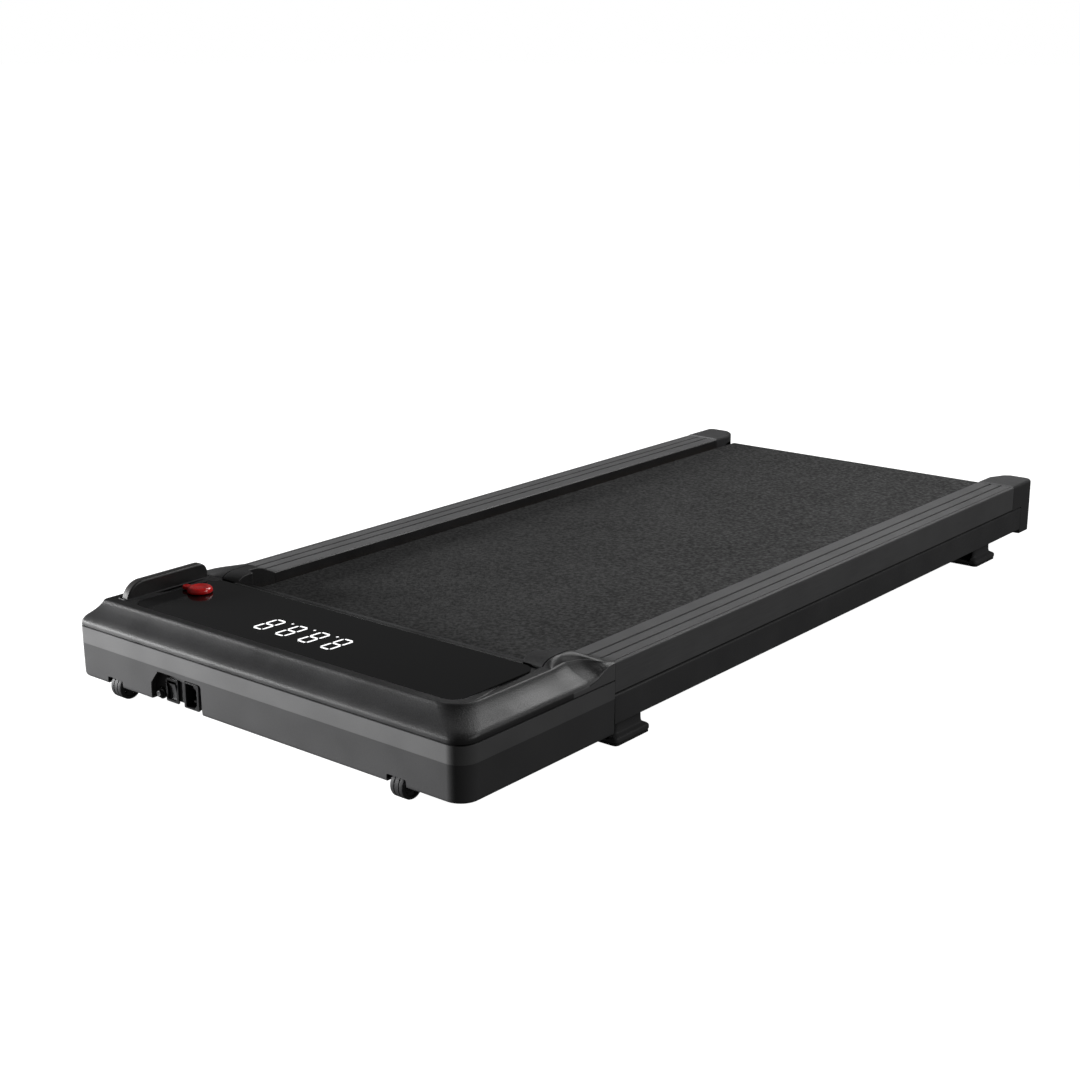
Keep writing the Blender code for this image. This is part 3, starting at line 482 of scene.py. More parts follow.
def combine(item, other, operation="DIFFERENCE"):
    """Boolean with a helper solid, baked in; the helper goes."""
    mod = item.modifiers.new("combine", "BOOLEAN")
    mod.operation = operation
    mod.solver = "EXACT"
    mod.object = other
    bake(item)
    bpy.data.objects.remove(other)
    return item


def bake(item):
    """Apply the modifiers to the mesh."""
    bpy.context.view_layer.update()
    graph = bpy.context.evaluated_depsgraph_get()
    mesh = bpy.data.meshes.new_from_object(item.evaluated_get(graph))
    item.modifiers.clear()
    item.data = mesh
    return item


def dress(item, mats, body, nodes=(), sharp=32.0):
    """Materials, smooth shading with weighted normals, body and the CAD nodes it stands for."""
    item.data.transform(Matrix.Translation((CENTRE_X, 0.0, 0.0)))
    if not item.data.materials:
        for mat in mats:
            item.data.materials.append(mat)
    for face in item.data.polygons:
        face.use_smooth = True
    item.data.set_sharp_from_angle(angle=math.radians(sharp))
    weighted = item.modifiers.new("weighted", "WEIGHTED_NORMAL")
    weighted.keep_sharp = True
    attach(item, body)
    if nodes:
        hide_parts(*nodes)
    return item


def mirrored(outline, side):
    return [(side * point[0],) + tuple(point[1:]) for point in outline]


# ---------------------------------------------------------------- hood cover
LEVELS = [0.0, 0.12] + spread(0.3, 5.4, 18) + spread(5.6, 8.0, 13)
STATIONS = spread(0.0, 9.0, 55)
SEAM_X = 0.2226                 # joint between the belt lip and the hump of a wing
SEAM_DEEP = 0.0022
LIP_FOOT_Z = 0.0815             # height above the belt where the lip starts to lean in
LIP_ROUND = 0.0012
SEAM_SHADE_PAINTED = 0.0018              # height of the cover's edge painted black: painted shadow of the joint with the tray


def hood_half(side, y):
    """Outer face of the hood: drawn in to the width of the rails along the left wing."""
    if side > 0:
        return HALF_W
    return HALF_W + (HOOD_LEFT - HALF_W) * (WING_END_Y - y) / (WING_END_Y - HOOD_REAR_Y)


def wing_rim(level, t, side):
    """Point on the outside of a wing at a level of the scoop."""
    share, height = curve(SCOOP, level)[1:]
    y, right_in, left_in, scoop, ridge_z = curve(WING, t)[:5]
    ridge = right_in if side > 0 else left_in
    z = COVER_Z if level == 0.0 else ridge_z - (PLATEAU_Z - height) * scoop
    return (side * (hood_half(side, y) - max(share, 0.0) * max(ridge, 0.0)), y, z)


def cover_row(level):
    """Round the outside of the cover at one level: left wing, front, right wing."""
    back, share, height = curve(SCOOP, level)
    back = max(back, 0.0)
    share = max(share, 0.0)
    row = [wing_rim(level, t, -1) for t in reversed(STATIONS)]
    radius = CORNER_LEFT_R - 0.10 * back
    left = -HOOD_LEFT + share * RIDGE_LEFT
    row += [(x, y, height) for x, y in arc(left + radius, FRONT_Y + back + radius, radius, 180, 270, 14)]
    radius = CORNER_R + 0.35 * back
    right = HALF_W - share * RIDGE_RIGHT
    row += [(x, y, height) for x, y in arc(right - radius, FRONT_Y + back + radius, radius, 270, 360, 14)]
    return row + [wing_rim(level, t, 1) for t in STATIONS]


def wing_columns(t, side):
    """Points across the top of a wing, from its ridge to its rounded lip beside the belt."""
    rim_x, y, rim_z = wing_rim(LEVELS[-1], t, side)
    edge_z, lean = curve(WING, t)[5:]
    rim_x = abs(rim_x)
    points = []
    for share in spread(0.0, 1.0, 9):
        x = rim_x + (SEAM_X + 0.0008 - rim_x) * share
        points.append((side * x, y, rim_z + (edge_z - rim_z) * math.sin(0.5 * math.pi * share) ** 0.7))
    dip = SEAM_DEEP * min(1.0, max(0.0, (edge_z - PLATEAU_Z) / 0.001))
    points.append((side * (SEAM_X + 0.0005), y, edge_z - dip))
    points.append((side * (SEAM_X - 0.0003), y, edge_z - dip))
    points.append((side * (SEAM_X - 0.0006), y, edge_z))
    inner = RAIL_IN - max(lean, 0.0)
    for out, down in arc(inner + LIP_ROUND, -LIP_ROUND, LIP_ROUND, 90, 180, 5):
        points.append((side * out, y, edge_z + down))
    points.append((side * inner, y, LIP_FOOT_Z + 0.0025))
    points.append((side * RAIL_IN, y, LIP_FOOT_Z))
    points.append((side * RAIL_IN, y, COVER_Z))
    return points


def hood_cover(mats):
    bm = bmesh.new()
    rows = [[bm.verts.new(p) for p in cover_row(level)] for level in LEVELS]
    for low, high in zip(rows, rows[1:]):
        strip(bm, low, high, closed=False)
    for side in (-1, 1):
        grid = [[bm.verts.new(p) for p in wing_columns(t, side)] for t in STATIONS]
        for one, two in zip(grid, grid[1:]):
            strip(bm, one, two, closed=False)
    front = cover_row(LEVELS[-1])[len(STATIONS) - 1:-len(STATIONS) + 1]
    half = RAIL_IN - WING[0][6] + LIP_ROUND
    edge = wing_columns(0.0, 1)[1:-1] + wing_columns(0.0, -1)[-2:0:-1]
    flat = [(x, y, z) for x, y, z in edge if abs(x) >= half - 1e-6]
    bm.faces.new([bm.verts.new(p) for p in front + flat])
    rear_drop = ((0.0, 0.0), (0.0002, -0.0003), (0.0002, -0.0118), (-0.0012, -0.0128))
    rear = [(HOOD_REAR_Y + dy, PLATEAU_Z + dz) for dy, dz in rear_drop]
    across = [[bm.verts.new((x, y, z)) for x in (-half, half)] for y, z in rear]
    for one, two in zip(across, across[1:]):
        strip(bm, one, two, closed=False)
    cover = to_object("hood_shell", bm, open_skin=True)
    thick = cover.modifiers.new("thick", "SOLIDIFY")
    thick.thickness = 0.0022
    thick.offset = -1.0
    bake(cover)
    recess = round_rect(grown(SCREEN_X, 0.0003), grown(SCREEN_Y, 0.0003), SCREEN_R + 0.0003, 12)
    combine(cover, prism("recess", recess, "Z", PLATEAU_Z - 0.0016, PLATEAU_Z + 0.01))
    slot = round_rect(grown(REMOTE_X, 0.0006), grown(REMOTE_Y, 0.002), 0.003, 6)
    combine(cover, prism("slot", slot, "Z", 0.075, 0.11))
    # faces along the cover's bottom edge get the black plastic (index 2): painted shadow in the joint with
    # the tray
    for face in cover.data.polygons:
        on_wing = face.center.y > HOOD_REAR_Y
        if on_wing and abs(face.normal.x) > 0.95 and abs(face.center.x) > HALF_W - 0.003:
            face.material_index = 1
        elif not on_wing and face.center.z < COVER_Z + SEAM_SHADE_PAINTED:
            face.material_index = 2
    dress(cover, [mats["hood"], mats["band"], mats["black"]], "frame", ["hood_cover"])


def slot_rim(mats):
    """Thin raised lip round the remote's slot."""
    rings = []
    section = ((0.0007, -0.0014), (0.0007, 0.0004), (0.0011, 0.0007), (0.0016, 0.0004), (0.0018, -0.0004))
    for grow, z in section:
        outline = round_rect(grown(REMOTE_X, grow), grown(REMOTE_Y, 0.0014 + grow), 0.003, 6)
        rings.append([(x, y, PLATEAU_Z + z) for x, y in outline])
    dress(loft("remote_slot_rim", rings, looped=True), [mats["cap"]], "frame")


# ---------------------------------------------------------------- base tray
def tray_front(left, right, front, left_radius, right_radius):
    """Plan of the tray's two front corners."""
    return (arc(left + left_radius, front + left_radius, left_radius, 180, 270, 10)
            + arc(right - right_radius, front + right_radius, right_radius, 270, 360, 14))


def base_ring(z, inset, sole):
    """One ring of the tray, set in all round and a little more under its left side."""
    left, half = -HOOD_LEFT + inset + sole, HALF_W - inset
    ring = tray_front(left, half, FRONT_Y + inset, CORNER_LEFT_R - inset, CORNER_R - inset)
    ring += [(half, WING_END_Y), (RAIL_IN, WING_END_Y), (RAIL_IN, HOOD_REAR_Y),
             (-RAIL_IN, HOOD_REAR_Y), (-RAIL_IN, WING_END_Y), (-half, WING_END_Y), (left, HOOD_REAR_Y)]
    return [(x, y, z) for x, y in ring]


def hood_base(mats):
    levels = [(HOOD_BOTTOM, 0.0020, 0.0042), (HOOD_BOTTOM + 0.0003, 0.0014, 0.0030),
              (HOOD_BOTTOM + 0.0010, 0.0010, 0.0018), (HOOD_BOTTOM + 0.0021, 0.0008, 0.0007),
              (HOOD_BOTTOM + 0.0035, 0.0006, 0.0), (CREASE_Z - 0.0004, 0.0001, 0.0), (CREASE_Z, 0.0, 0.0),
              (CREASE_Z + 0.0004, 0.0, 0.0), (SPLIT_Z - 0.0009, 0.0, 0.0), (SPLIT_Z - 0.0003, 0.0005, 0.0),
              (SPLIT_Z, 0.0013, 0.0)]
    # the two top rows, set in under the joint, take the black plastic (index 2): painted shadow in the groove
    # between tray and cover
    indices = [1] * 5 + [0] * 3 + [2] * 2
    base = loft("hood_tray", [base_ring(*level) for level in levels], indices=indices)
    # rows below the crease (index 1) take the darker lower-band plastic: painted shade
    for key in ("band", "skirt", "black"):
        base.data.materials.append(mats[key])
    left, half = -HOOD_LEFT + 0.0025, HALF_W - 0.0025
    hollow = tray_front(left, half, FRONT_Y + 0.0018, CORNER_LEFT_R - 0.0025, CORNER_R - 0.0025)
    hollow += [(half, 0.0), (-half, 0.0), (-half, WING_END_Y), (left, HOOD_REAR_Y)]
    combine(base, prism("hollow", hollow, "Z", HOOD_BOTTOM + 0.0022, 0.1))
    for side, x in WHEELS:
        notch = [(x - NOTCH_HALF, 0.0), (x + NOTCH_HALF, 0.0)]
        notch += arc(x + NOTCH_HALF - 0.002, NOTCH_TOP - 0.002, 0.002, 0, 90, 4)
        notch += arc(x - NOTCH_HALF + 0.002, NOTCH_TOP - 0.002, 0.002, 90, 180, 4)
        combine(base, prism("notch", notch, "Y", FRONT_Y - 0.01, WHEEL_Y + WHEEL_R + 0.0018))
    combine(base, prism("power_opening", power_outline(), "Y", FRONT_Y - 0.01, -0.5665))
    combine(base, box("power_floor", (PANEL_X[0] + 0.004, PANEL_X[1] - 0.002), (-0.5670, -0.5475),
                      (0.0, HOOD_BOTTOM + 0.004)))
    dress(base, [mats["band"], mats["skirt"]], "frame", ["hood_base"])


def power_outline():
    """Front view of the power corner's opening: slanted on the left, rounded at the top right."""
    outline = [(PANEL_X[0] - 0.0015, 0.0), (PANEL_X[0], 0.034), (PANEL_X[0] + 0.0115, PANEL_TOP)]
    outline += arc(PANEL_X[1] - 0.004, PANEL_TOP - 0.004, 0.004, 90, 0, 5)
    return outline + [(PANEL_X[1], 0.0)]


# ---------------------------------------------------------------- display and safety key
def display(mats):
    rings = []
    for inset, z in ((0.0, -0.0013), (0.0, -0.0006), (0.0002, -0.0003), (0.0006, -0.0002)):
        ring = round_rect(grown(SCREEN_X, -inset), grown(SCREEN_Y, -inset), SCREEN_R - inset, 14)
        rings.append([(x, y, PLATEAU_Z + z) for x, y in ring])
    dress(loft("display_glass", rings), [mats["gloss"]], "frame", ["display_panel"])


DIGIT_TALL = 0.0335             # along y
DIGIT_WIDE = 0.0150             # along x
DIGIT_PITCH = 0.0315
DIGIT_STROKE = 0.0024
DIGIT_GAP = 0.0009
DIGIT_LEAN = math.tan(math.radians(3.2))
DIGIT_CENTRE = (-0.018, -0.4995)


def segment_bars():
    """Seven bars as (start, end) in a digit's own frame: +u to the reader's right, +v to the reader's top."""
    w, h = 0.5 * (DIGIT_WIDE - DIGIT_STROKE), 0.5 * (DIGIT_TALL - DIGIT_STROKE)
    return (((-w, h), (w, h)), ((-w, 0.0), (w, 0.0)), ((-w, -h), (w, -h)),
            ((-w, 0.0), (-w, h)), ((-w, -h), (-w, 0.0)), ((w, 0.0), (w, h)), ((w, -h), (w, 0.0)))


def bar_outline(start, end):
    """Hexagonal bar between two points, its tips drawn in by the gap."""
    run = (Vector(end) - Vector(start)).normalized()
    side = Vector((-run.y, run.x)) * 0.5 * DIGIT_STROKE
    tip_a, tip_b = Vector(start) + run * DIGIT_GAP, Vector(end) - run * DIGIT_GAP
    back = run * 0.5 * DIGIT_STROKE
    return [tip_a, tip_a + back - side, tip_b - back - side, tip_b, tip_b - back + side, tip_a + back + side]


def digits(mats):
    """Four seven-segment figures with dots between them, read from the belt."""
    bm = bmesh.new()
    top = PLATEAU_Z - 0.0001
    shapes = []
    for k in range(4):
        shift = (k - 1.5) * DIGIT_PITCH
        for start, end in segment_bars():
            shapes.append([(p.x + shift, p.y) for p in bar_outline(start, end)])
        if k < 3:
            dot = (shift + 0.5 * DIGIT_PITCH, -0.5 * DIGIT_TALL + 0.5 * DIGIT_STROKE)
            shapes.append(arc(dot[0], dot[1], 0.55 * DIGIT_STROKE, 0, 345, 15))
    for shape in shapes:
        rows = []
        for z in (top - 0.00009, top):
            ring = []
            for u, v in shape:
                u += DIGIT_LEAN * v
                ring.append(bm.verts.new((DIGIT_CENTRE[0] - u, DIGIT_CENTRE[1] - v, z)))
            rows.append(ring)
        strip(bm, *rows)
        bm.faces.new(rows[0])
        bm.faces.new(rows[1])
    dress(to_object("display_digits", bm), [mats["digit"]], "frame")


def safety_key(mats):
    """Dished red disc with a rounded rim and a lanyard tab towards the slot."""
    low = PLATEAU_Z + 0.0003
    shape = ((KEY_R - 0.0010, 0.0), (KEY_R - 0.0002, 0.0008), (KEY_R, 0.0022), (KEY_R - 0.0004, 0.0038),
             (KEY_R - 0.0016, 0.0054), (KEY_R - 0.0034, 0.0062), (KEY_R - 0.0055, 0.0060), (0.0050, 0.0052),
             (0.0020, 0.0050))
    profile = [(0.0, low)] + [tuple(p) for p in (curve(shape, t) for t in spread(0.0, 8.0, 25))]
    profile = [(0.0, low)] + [(r, low + z) for r, z in profile[1:]] + [(0.0, low + 0.0050)]
    key = lathe("safety_key_disc", profile, "Z", KEY_AT, 72)
    tab = round_rect((KEY_AT[0] - 0.0235, KEY_AT[0] - 0.006), (KEY_AT[1] - 0.0065, KEY_AT[1] + 0.0025),
                     0.0040, 8)
    body = round_edges(prism("tab", tab, "Z", low + 0.0004, low + 0.0042), 0.0012)
    eye = arc(KEY_AT[0] - 0.0195, KEY_AT[1] - 0.0020, 0.0015, 0, 345, 23)
    combine(body, prism("eye", eye, "Z", low - 0.01, low + 0.02))
    combine(key, body, "UNION")
    dress(key, [mats["red"]], "safety_key", ["safety_key"])


# ---------------------------------------------------------------- remote control
def remote(mats):
    corners = ((REMOTE_Y[0], REMOTE_Z[0], 0.006, 180), (REMOTE_Y[1], REMOTE_Z[0], 0.006, 270),
               (REMOTE_Y[1], REMOTE_Z[1], 0.011, 0), (REMOTE_Y[0], REMOTE_Z[1], 0.022, 90))
    outline = []
    for y, z, radius, start in corners:
        cy = y + radius if start in (90, 180) else y - radius
        cz = z + radius if start in (180, 270) else z - radius
        outline += arc(cy, cz, radius, start, start + 90, 12)
    body = round_edges(prism("remote_shell", outline, "X", *REMOTE_X), 0.0022, 4, 60.0)
    key_z = REMOTE_Z[0] + 0.013
    for y in (-0.506, -0.484, -0.462):
        hole = arc(y, key_z, 0.0063, 0, 352, 44)
        combine(body, prism("hole", hole, "X", REMOTE_X[1] - 0.0042, 0.0))
    dress(body, [mats["remote"]], "remote", ["remote_body"])


# ---------------------------------------------------------------- rails, beams, belt
def rail_section():
    """Cross section of the right foot rail: grooved top, two skirts, a web and an outer gutter."""
    groove = 0.0014
    top = [(RAIL_IN, RAIL_Z - 0.0012), (RAIL_IN + 0.0012, RAIL_Z)]
    for start, end in ((0.2252, 0.2284), (0.2401, 0.2429), (0.2545, 0.2556)):
        floor = RAIL_Z - groove
        top += [(start, RAIL_Z), (start + 0.0003, floor), (end - 0.0003, floor), (end, RAIL_Z)]
    under = RAIL_Z - 0.0040
    foot = BEAM_Z[1] + 0.0003
    top += arc(HALF_W - 0.0016, RAIL_Z - 0.0016, 0.0016, 90, 0, 4)
    return top + [
        (HALF_W, 0.0585), (0.2520, 0.0585), (0.2520, foot), (0.2495, foot), (0.2495, 0.0607),
        (HALF_W - 0.0025, 0.0607), (HALF_W - 0.0025, under), (0.2310, under), (0.2310, foot),
        (0.2285, foot), (0.2285, under), (RAIL_IN + 0.002, under), (RAIL_IN + 0.002, 0.0625),
        (RAIL_IN, 0.0625)]


def rails_and_beams(mats):
    for name, side in (("left", -1), ("right", 1)):
        section = mirrored(rail_section(), side)
        rail = prism("foot_rail_" + name, section, "Y", WING_END_Y + 0.0003, RAIL_END_Y)
        round_edges(rail, 0.00035, 2, 35.0)
        # the rail's inner wall beside the belt gets the black plastic (index 1): painted shade of the gap
        # down to the belt
        for face in rail.data.polygons:
            if abs(face.center.x) < RAIL_IN + 0.0008:
                face.material_index = 1
        dress(rail, [mats["rail"], mats["black"]], "frame", ["rail_" + name])
        outer = round_rect((BEAM_IN, HALF_W), BEAM_Z, 0.0024, 6)
        inner = round_rect((BEAM_IN + 0.002, HALF_W - 0.002), grown(BEAM_Z, -0.002), 0.001, 6)
        rings = []
        for outline, along in ((outer, BEAM_FRONT_Y), (outer, BEAM_END_Y), (inner, BEAM_END_Y),
                               (inner, BEAM_FRONT_Y)):
            rings.append([(side * x, along, z) for x, z in outline])
        dress(loft("side_beam_" + name, rings, looped=True), [mats["steel"]], "frame",
              ["beam_" + name])


def stadium(radius, steps=28):
    """Loop round both rollers, as (y, z) points."""
    rear = arc(REAR_ROLLER_Y, ROLLER_Z, radius, -90, 90, steps)
    front = arc(FRONT_ROLLER_Y, ROLLER_Z, radius, 90, 270, steps)
    return rear + front


def walking_belt(mats):
    edge = 0.0005
    rings = []
    outer = ROLLER_R + BELT_T
    for radius, x in ((ROLLER_R, BELT_HALF), (outer - edge, BELT_HALF), (outer, BELT_HALF - edge),
                      (outer, -BELT_HALF + edge), (outer - edge, -BELT_HALF), (ROLLER_R, -BELT_HALF)):
        rings.append([(x, y, z) for y, z in stadium(radius)])
    belt = loft("running_belt", rings, looped=True, indices=[0, 0, 0, 0, 0, 1])
    dress(belt, [mats["belt"], mats["weave"]], "frame", ["walking_belt"])


# ---------------------------------------------------------------- power corner
def power_corner(mats):
    left, right = PANEL_X[0] - 0.003, PANEL_X[1] + 0.003
    back = FRONT_Y + 0.0021
    panel = box("power_plate", (left, right), (back, PANEL_Y + 0.002),
                (HOOD_BOTTOM + 0.0026, PANEL_TOP + 0.003))
    middle = 0.5 * (PANEL_X[0] + PANEL_X[1])
    recess = []
    for a, b in power_outline():
        recess.append((a + math.copysign(0.0012, a - middle), b + (0.0012 if b > 0.04 else 0.0)))
    combine(panel, prism("recess", recess, "Y", -0.60, PANEL_Y))
    for (x, z), half, up in ((ROCKER, 0.0083, 0.0110), (INLET, 0.0103, 0.0134), (BREAKER, 0.0053, 0.0054)):
        combine(panel, box("window", (x - half, x + half), (-0.60, -0.50), (0.0, z + up)))
    dress(panel, [mats["skirt"]], "frame", ["power_panel"])
    rocker_switch(mats)
    inlet(mats)
    breaker(mats)


def rocker_switch(mats):
    x, z = ROCKER
    face = PANEL_Y
    flange = round_rect((x - 0.0095, x + 0.0095), (z - 0.0125, z + 0.0125), 0.0015, 5)
    housing = round_edges(prism("flange", flange, "Y", face - 0.0023, face - 0.0003), 0.0005, 2)
    can = box("can", (x - 0.008, x + 0.008), (face - 0.0015, face + 0.014), (z - 0.0107, z + 0.0107))
    combine(housing, can, "UNION")
    well = box("well", (x - 0.0068, x + 0.0068), (face - 0.01, face + 0.0115), (z - 0.0100, z + 0.0100))
    combine(housing, well)
    housing.name = "rocker_frame"
    dress(housing, [mats["black"]], "frame", ["rocker_housing"])
    tilt = math.radians(10.0)
    pivot = face + 0.003
    reach, depth = 0.0090, 0.0052
    front = [(-reach * math.cos(math.radians(a)), -depth + 0.0022 * math.sin(math.radians(a)))
             for a in spread(0.0, 180.0, 13)]
    outline = []
    for along, out in front + [(0.004, 0.004), (-0.004, 0.004)]:
        outline.append((pivot + out * math.cos(tilt) - along * math.sin(tilt),
                        z + along * math.cos(tilt) + out * math.sin(tilt)))
    paddle = round_edges(prism("rocker_paddle", outline, "X", x - 0.0064, x + 0.0064), 0.0004, 2, 50.0)
    dress(paddle, [mats["skirt"]], "power_rocker", ["power_rocker"])


def inlet(mats):
    """Three-pin mains inlet, turned on its side, two corners clipped."""
    x, z = INLET
    face = PANEL_Y
    flange = round_rect((x - 0.0112, x + 0.0112), (z - 0.0138, z + 0.0138), 0.0015, 5)
    body = round_edges(prism("mains_socket", flange, "Y", face - 0.0023, face - 0.0003), 0.0005, 2)
    can = box("can", (x - 0.0100, x + 0.0100), (face - 0.0015, face + 0.020), (z - 0.0130, z + 0.0130))
    combine(body, can, "UNION")
    half_w, half_h, clip = 0.0083, 0.0122, 0.0045
    mouth = [(x - half_w, z - half_h), (x + half_w - clip, z - half_h), (x + half_w, z - half_h + clip),
             (x + half_w, z + half_h - clip), (x + half_w - clip, z + half_h), (x - half_w, z + half_h)]
    combine(body, prism("mouth", mouth, "Y", face - 0.02, face + 0.0165))
    dress(body, [mats["black"]], "frame", ["ac_inlet"])
    for k, (dx, dz) in enumerate(((-0.0015, -0.007), (0.0025, 0.0), (-0.0015, 0.007))):
        blade = box("inlet_blade_%d" % (k + 1), (x + dx - 0.002, x + dx + 0.002),
                    (face + 0.0032, face + 0.0166), (z + dz - 0.001, z + dz + 0.001))
        round_edges(blade, 0.0004, 2)
        dress(blade, [mats["bright"]], "frame")


def breaker(mats):
    face = PANEL_Y
    collar = [(0.0038, face - 0.0026), (0.0042, face - 0.0030), (0.0050, face - 0.0030),
              (0.0056, face - 0.0026), (0.0058, face - 0.0020), (0.0058, face - 0.0003),
              (0.0050, face - 0.0003), (0.0050, face + 0.016), (0.0, face + 0.016),
              (0.0, face + 0.010), (0.0038, face + 0.010)]
    dress(lathe("breaker_collar", collar, "Y", BREAKER, 48), [mats["black"]], "frame",
          ["breaker_body"])
    out = face - 0.0062
    button = [(0.0, out + 0.0003), (0.0015, out + 0.0002), (0.0024, out), (0.0031, out + 0.0003),
              (0.0035, out + 0.0010), (0.0035, face + 0.0070), (0.0, face + 0.0070)]
    dress(lathe("breaker_cap", button, "Y", BREAKER, 48), [mats["skirt"]], "breaker_button",
          ["breaker_button"])


# ---------------------------------------------------------------- wheels, feet and end caps
def wheels(mats):
    for side, x in WHEELS:
        half = WHEEL_W / 2
        profile = [(0.0034, x - half + 0.0008), (0.0055, x - half), (0.0064, x - half + 0.0010),
                   (0.0100, x - half + 0.0010), (0.0108, x - half), (WHEEL_R - 0.0016, x - half),
                   (WHEEL_R - 0.0005, x - half + 0.0005), (WHEEL_R, x - half + 0.0015)]
        for groove in (-0.0028, 0.0028):
            profile += [(WHEEL_R, x + groove - 0.0006), (WHEEL_R - 0.0006, x + groove - 0.0003),
                        (WHEEL_R - 0.0006, x + groove + 0.0003), (WHEEL_R, x + groove + 0.0006)]
        profile += [(radius, 2 * x - along) for radius, along in reversed(profile[:8])]
        wheel = lathe("wheel_tread_" + side, profile, "X", (WHEEL_Y, WHEEL_Z), 72)
        for k in range(5):
            angle = math.radians(72.0 * k)
            hole = arc(WHEEL_Y + 0.0082 * math.cos(angle), WHEEL_Z + 0.0082 * math.sin(angle),
                       0.0013, 0, 345, 15)
            combine(wheel, prism("hole", hole, "X", x - 0.02, x + 0.02))
        dress(wheel, [mats["tyre"]], "wheel_" + side, ["wheel_" + side])


def feet(mats):
    for end, y in FOOT_Y:
        for name, side in (("left", -1), ("right", 1)):
            foot(mats, end + "_" + name, y, side)


def foot(mats, name, y, side):
    """Flared foot, hollow towards the front, on a rubber pad."""
    x0, x1 = FOOT_X
    low, top = 0.0030, BEAM_Z[0] - 0.0003
    flare = ((0.0006, low), (0.0, low + 0.0006), (0.0, 0.0060), (0.0003, 0.0072), (0.0012, 0.0083),
             (0.0030, 0.0093), (0.0047, 0.0104), (0.0056, 0.0120), (0.0060, 0.0165), (0.0060, top - 0.0006),
             (0.0054, top))
    rings = []
    for t in spread(0.0, len(flare) - 1.0, 31):
        inset, z = curve(flare, t)
        inset = max(inset, 0.0)
        outline = round_rect((x0 + inset, x1 - inset), (y - 0.028 + inset, y + 0.028 - inset), 0.004, 6)
        rings.append([(side * px, py, min(max(z, low), top)) for px, py in outline])
    body = loft("foot_shell_" + name, rings)
    pocket = round_rect((x0 + 0.0095, x1 - 0.0095), (0.0052, 0.0215), 0.002, 4)
    combine(body, prism("pocket", mirrored(pocket, side), "Y", y - 0.04, y + 0.016))
    dress(body, [mats["cap"]], "frame", ["foot_" + name])


def cap_plan(inset):
    """Plan of the right end cap: inner edge cut back behind the belt, rounded outer rear corner."""
    start = RAIL_END_Y + 0.0004 + min(inset, 0.0008)
    points = [(RAIL_IN + inset, start), (HALF_W - inset, start)]
    points += arc(HALF_W - 0.010, REAR_Y - 0.010, 0.010 - inset, 0, 90, 12)
    points += [(0.2270 + 0.5 * inset, REAR_Y - inset), (0.2180 + inset, REAR_Y - 0.007 - 0.4 * inset),
               (RAIL_IN + inset, REAR_Y - 0.028 - 0.4 * inset)]
    return points


def end_caps(mats):
    low, high = 0.0205, RAIL_Z + 0.0015
    levels = [(low, 0.0011), (low + 0.0004, 0.0003), (low + 0.0011, 0.0)]
    for a in spread(0.0, 90.0, 10):
        bend = math.radians(a)
        levels.append((high - 0.0044 + 0.0044 * math.sin(bend), 0.0044 - 0.0044 * math.cos(bend)))
    for name, side in (("left", -1), ("right", 1)):
        rings = [[(side * x, y, z) for x, y in cap_plan(inset)] for z, inset in levels]
        cap = loft("rear_cap_" + name, rings)
        combine(cap, prism("hollow", mirrored(cap_plan(0.0025), side), "Z", low + 0.0025, high - 0.0025))
        combine(cap, box("step", sorted((side * 0.2, side * 0.27)), (0.50, BEAM_END_Y + 0.0005),
                         (0.0, BEAM_Z[1] + 0.001)))
        near, far = sorted((side * 0.2, side * 0.2232))
        combine(cap, prism("arch", arc(REAR_ROLLER_Y, ROLLER_Z, 0.0245, 0, 354, 59), "X", near, far))
        combine(cap, prism("bolt", arc(side * 0.237, ROLLER_Z, 0.0048, 0, 345, 23), "Y", 0.570, 0.60))
        dress(cap, [mats["cap"]], "frame", ["end_cap_" + name])


# ---------------------------------------------------------------- nodes kept as they are
KEPT = {
    "green": ("display_module", "controller_board"),
    "black": ("remote_cradle", "motor_body"),
    "white": ("remote_key_slower", "remote_key_start", "remote_key_faster", "motor_fan"),
    "steel": ("cross_member_1", "cross_member_2", "cross_member_3", "front_subframe", "motor_bracket",
              "wheel_bracket_left", "wheel_bracket_right", "tension_block_left", "tension_block_right"),
    "wood": ("deck",),
    "rubber": ("deck_cushion_left", "deck_cushion_right", "drive_belt", "pad_front_left", "pad_front_right",
               "pad_rear_left", "pad_rear_right"),
    "bright": ("front_roller", "rear_roller", "front_axle", "rear_axle", "motor_rotor", "tension_bolt_left",
               "tension_bolt_right"),
    "alu": ("drive_pulley", "motor_pulley", "heat_sink"),
}


def finish_kept_nodes(mats):
    """Give every CAD node that stays in view its finished material."""
    for key, names in KEPT.items():
        for name in names:
            for place_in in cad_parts[name].material_slots:
                place_in.material = mats[key]


# ---------------------------------------------------------------- studio
CAMERA_AT = (1.17399, -1.592, 0.63676)
CAMERA_TURN = 39.118            # degrees round from straight ahead
CAMERA_DOWN = 15.657            # degrees below level


def area_light(name, at, target, size, power, colour=(1.0, 1.0, 1.0)):
    lamp = bpy.data.lights.new(name, "AREA")
    lamp.shape = "RECTANGLE"
    lamp.size, lamp.size_y = size
    lamp.energy = power
    lamp.color = colour
    item = bpy.data.objects.new(name, lamp)
    item.location = at
    item.rotation_euler = (Vector(target) - Vector(at)).to_track_quat("-Z", "Y").to_euler()
    bpy.context.scene.collection.objects.link(item)
    return item


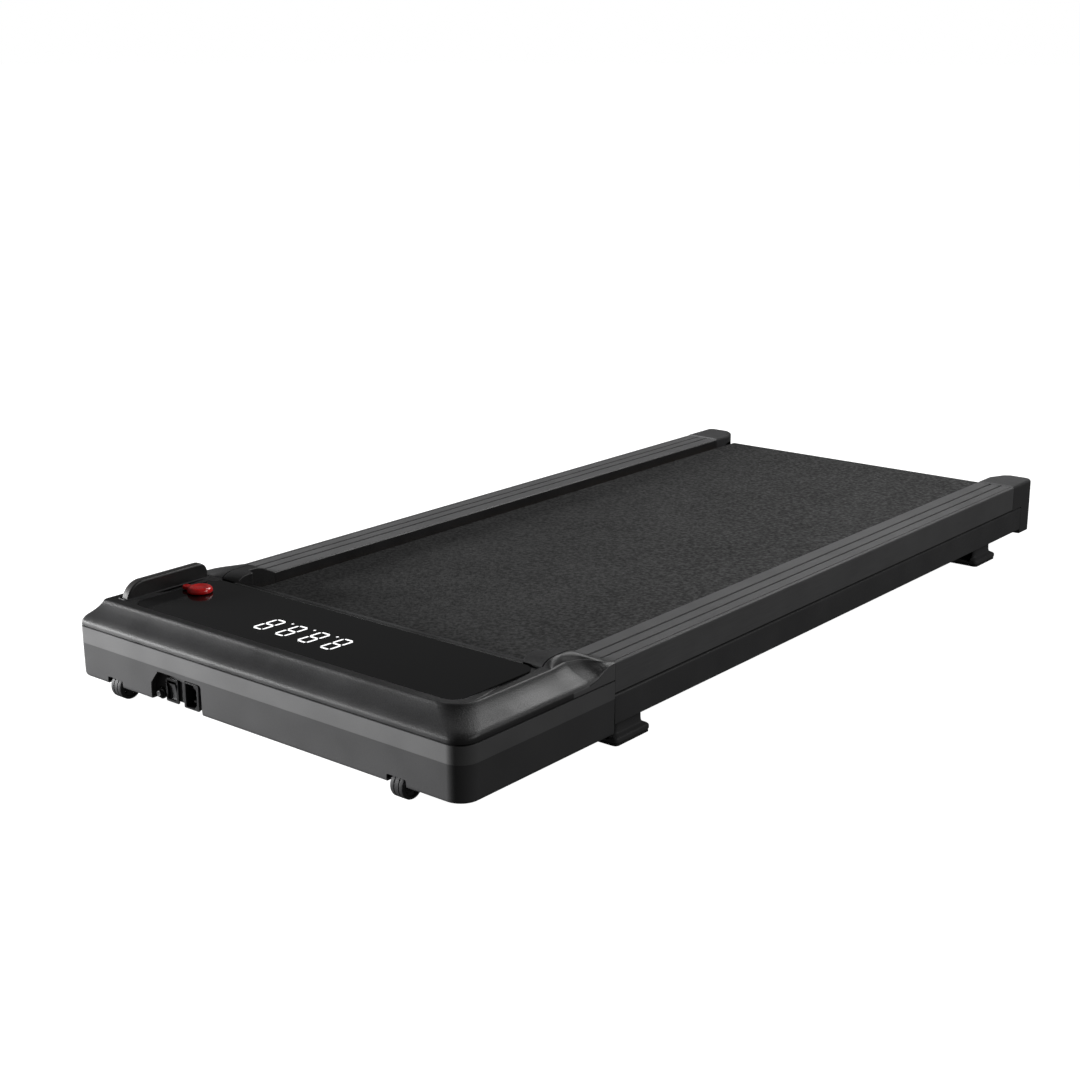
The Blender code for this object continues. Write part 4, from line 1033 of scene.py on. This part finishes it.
def studio():
    floor_mat = bpy.data.materials.new("studio_floor")
    floor_mat.use_nodes = True
    shader = floor_mat.node_tree.nodes["Principled BSDF"]
    shader.inputs["Base Color"].default_value = (0.30, 0.30, 0.30, 1.0)
    shader.inputs["Roughness"].default_value = 0.9
    shader.inputs["Specular IOR Level"].default_value = 0.0
    shader.inputs["Emission Color"].default_value = (1.0, 1.0, 1.0, 1.0)
    shader.inputs["Emission Strength"].default_value = 1.0
    bm = bmesh.new()
    reach = 120.0
    corners = ((-reach, -reach), (reach, -reach), (reach, reach), (-reach, reach))
    bm.faces.new([bm.verts.new((x, y, 0.0)) for x, y in corners])
    floor = to_object("studio_floor", bm, open_skin=True)
    floor.data.materials.append(floor_mat)
    floor.visible_glossy = False
    floor.visible_diffuse = False
    world = bpy.data.worlds.new("studio")
    bpy.context.scene.world = world
    world.use_nodes = True
    nodes, links = world.node_tree.nodes, world.node_tree.links
    ambient = nodes["Background"]
    ambient.inputs["Color"].default_value = (1.0, 1.0, 1.0, 1.0)
    ambient.inputs["Strength"].default_value = 0.08
    backdrop = nodes.new("ShaderNodeBackground")
    backdrop.inputs["Strength"].default_value = 1.0
    backdrop.inputs["Color"].default_value = (1.0, 1.0, 1.0, 1.0)
    path = nodes.new("ShaderNodeLightPath")
    mix = nodes.new("ShaderNodeMixShader")
    links.new(path.outputs["Is Camera Ray"], mix.inputs[0])
    links.new(ambient.outputs[0], mix.inputs[1])
    links.new(backdrop.outputs[0], mix.inputs[2])
    links.new(mix.outputs[0], nodes["World Output"].inputs["Surface"])
    broad = area_light("key_front_left", (-2.5, -1.44, 0.39), (0.0, -0.5, 0.05), (1.1, 0.5), 330.0)
    broad.visible_glossy = False
    area_light("key_sparkle", (-2.5, -1.44, 0.39), (0.0, -0.5, 0.05), (1.1, 0.5), 105.0)
    area_light("high_back", (0.0, 1.45, 1.65), (0.1, -0.3, 0.0), (1.3, 1.3), 23.0)
    area_light("right_soft", (2.0, 0.5, 1.3), (0.2, 0.0, 0.05), (1.2, 1.2), 15.0)
    bpy.context.scene.view_settings.view_transform = "Standard"


def camera():
    lens = bpy.data.cameras.new("camera")
    lens.lens = 57.508
    lens.sensor_width = 36.0
    item = bpy.data.objects.new("camera", lens)
    item.location = CAMERA_AT
    item.rotation_euler = (math.radians(90.0 - CAMERA_DOWN), 0.0, math.radians(CAMERA_TURN))
    bpy.context.scene.collection.objects.link(item)
    bpy.context.scene.camera = item


def main():
    mats = make_materials()
    camera()
    studio()
    hood_cover(mats)
    slot_rim(mats)
    hood_base(mats)
    display(mats)
    digits(mats)
    safety_key(mats)
    remote(mats)
    rails_and_beams(mats)
    walking_belt(mats)
    power_corner(mats)
    wheels(mats)
    feet(mats)
    end_caps(mats)
    finish_kept_nodes(mats)


main()
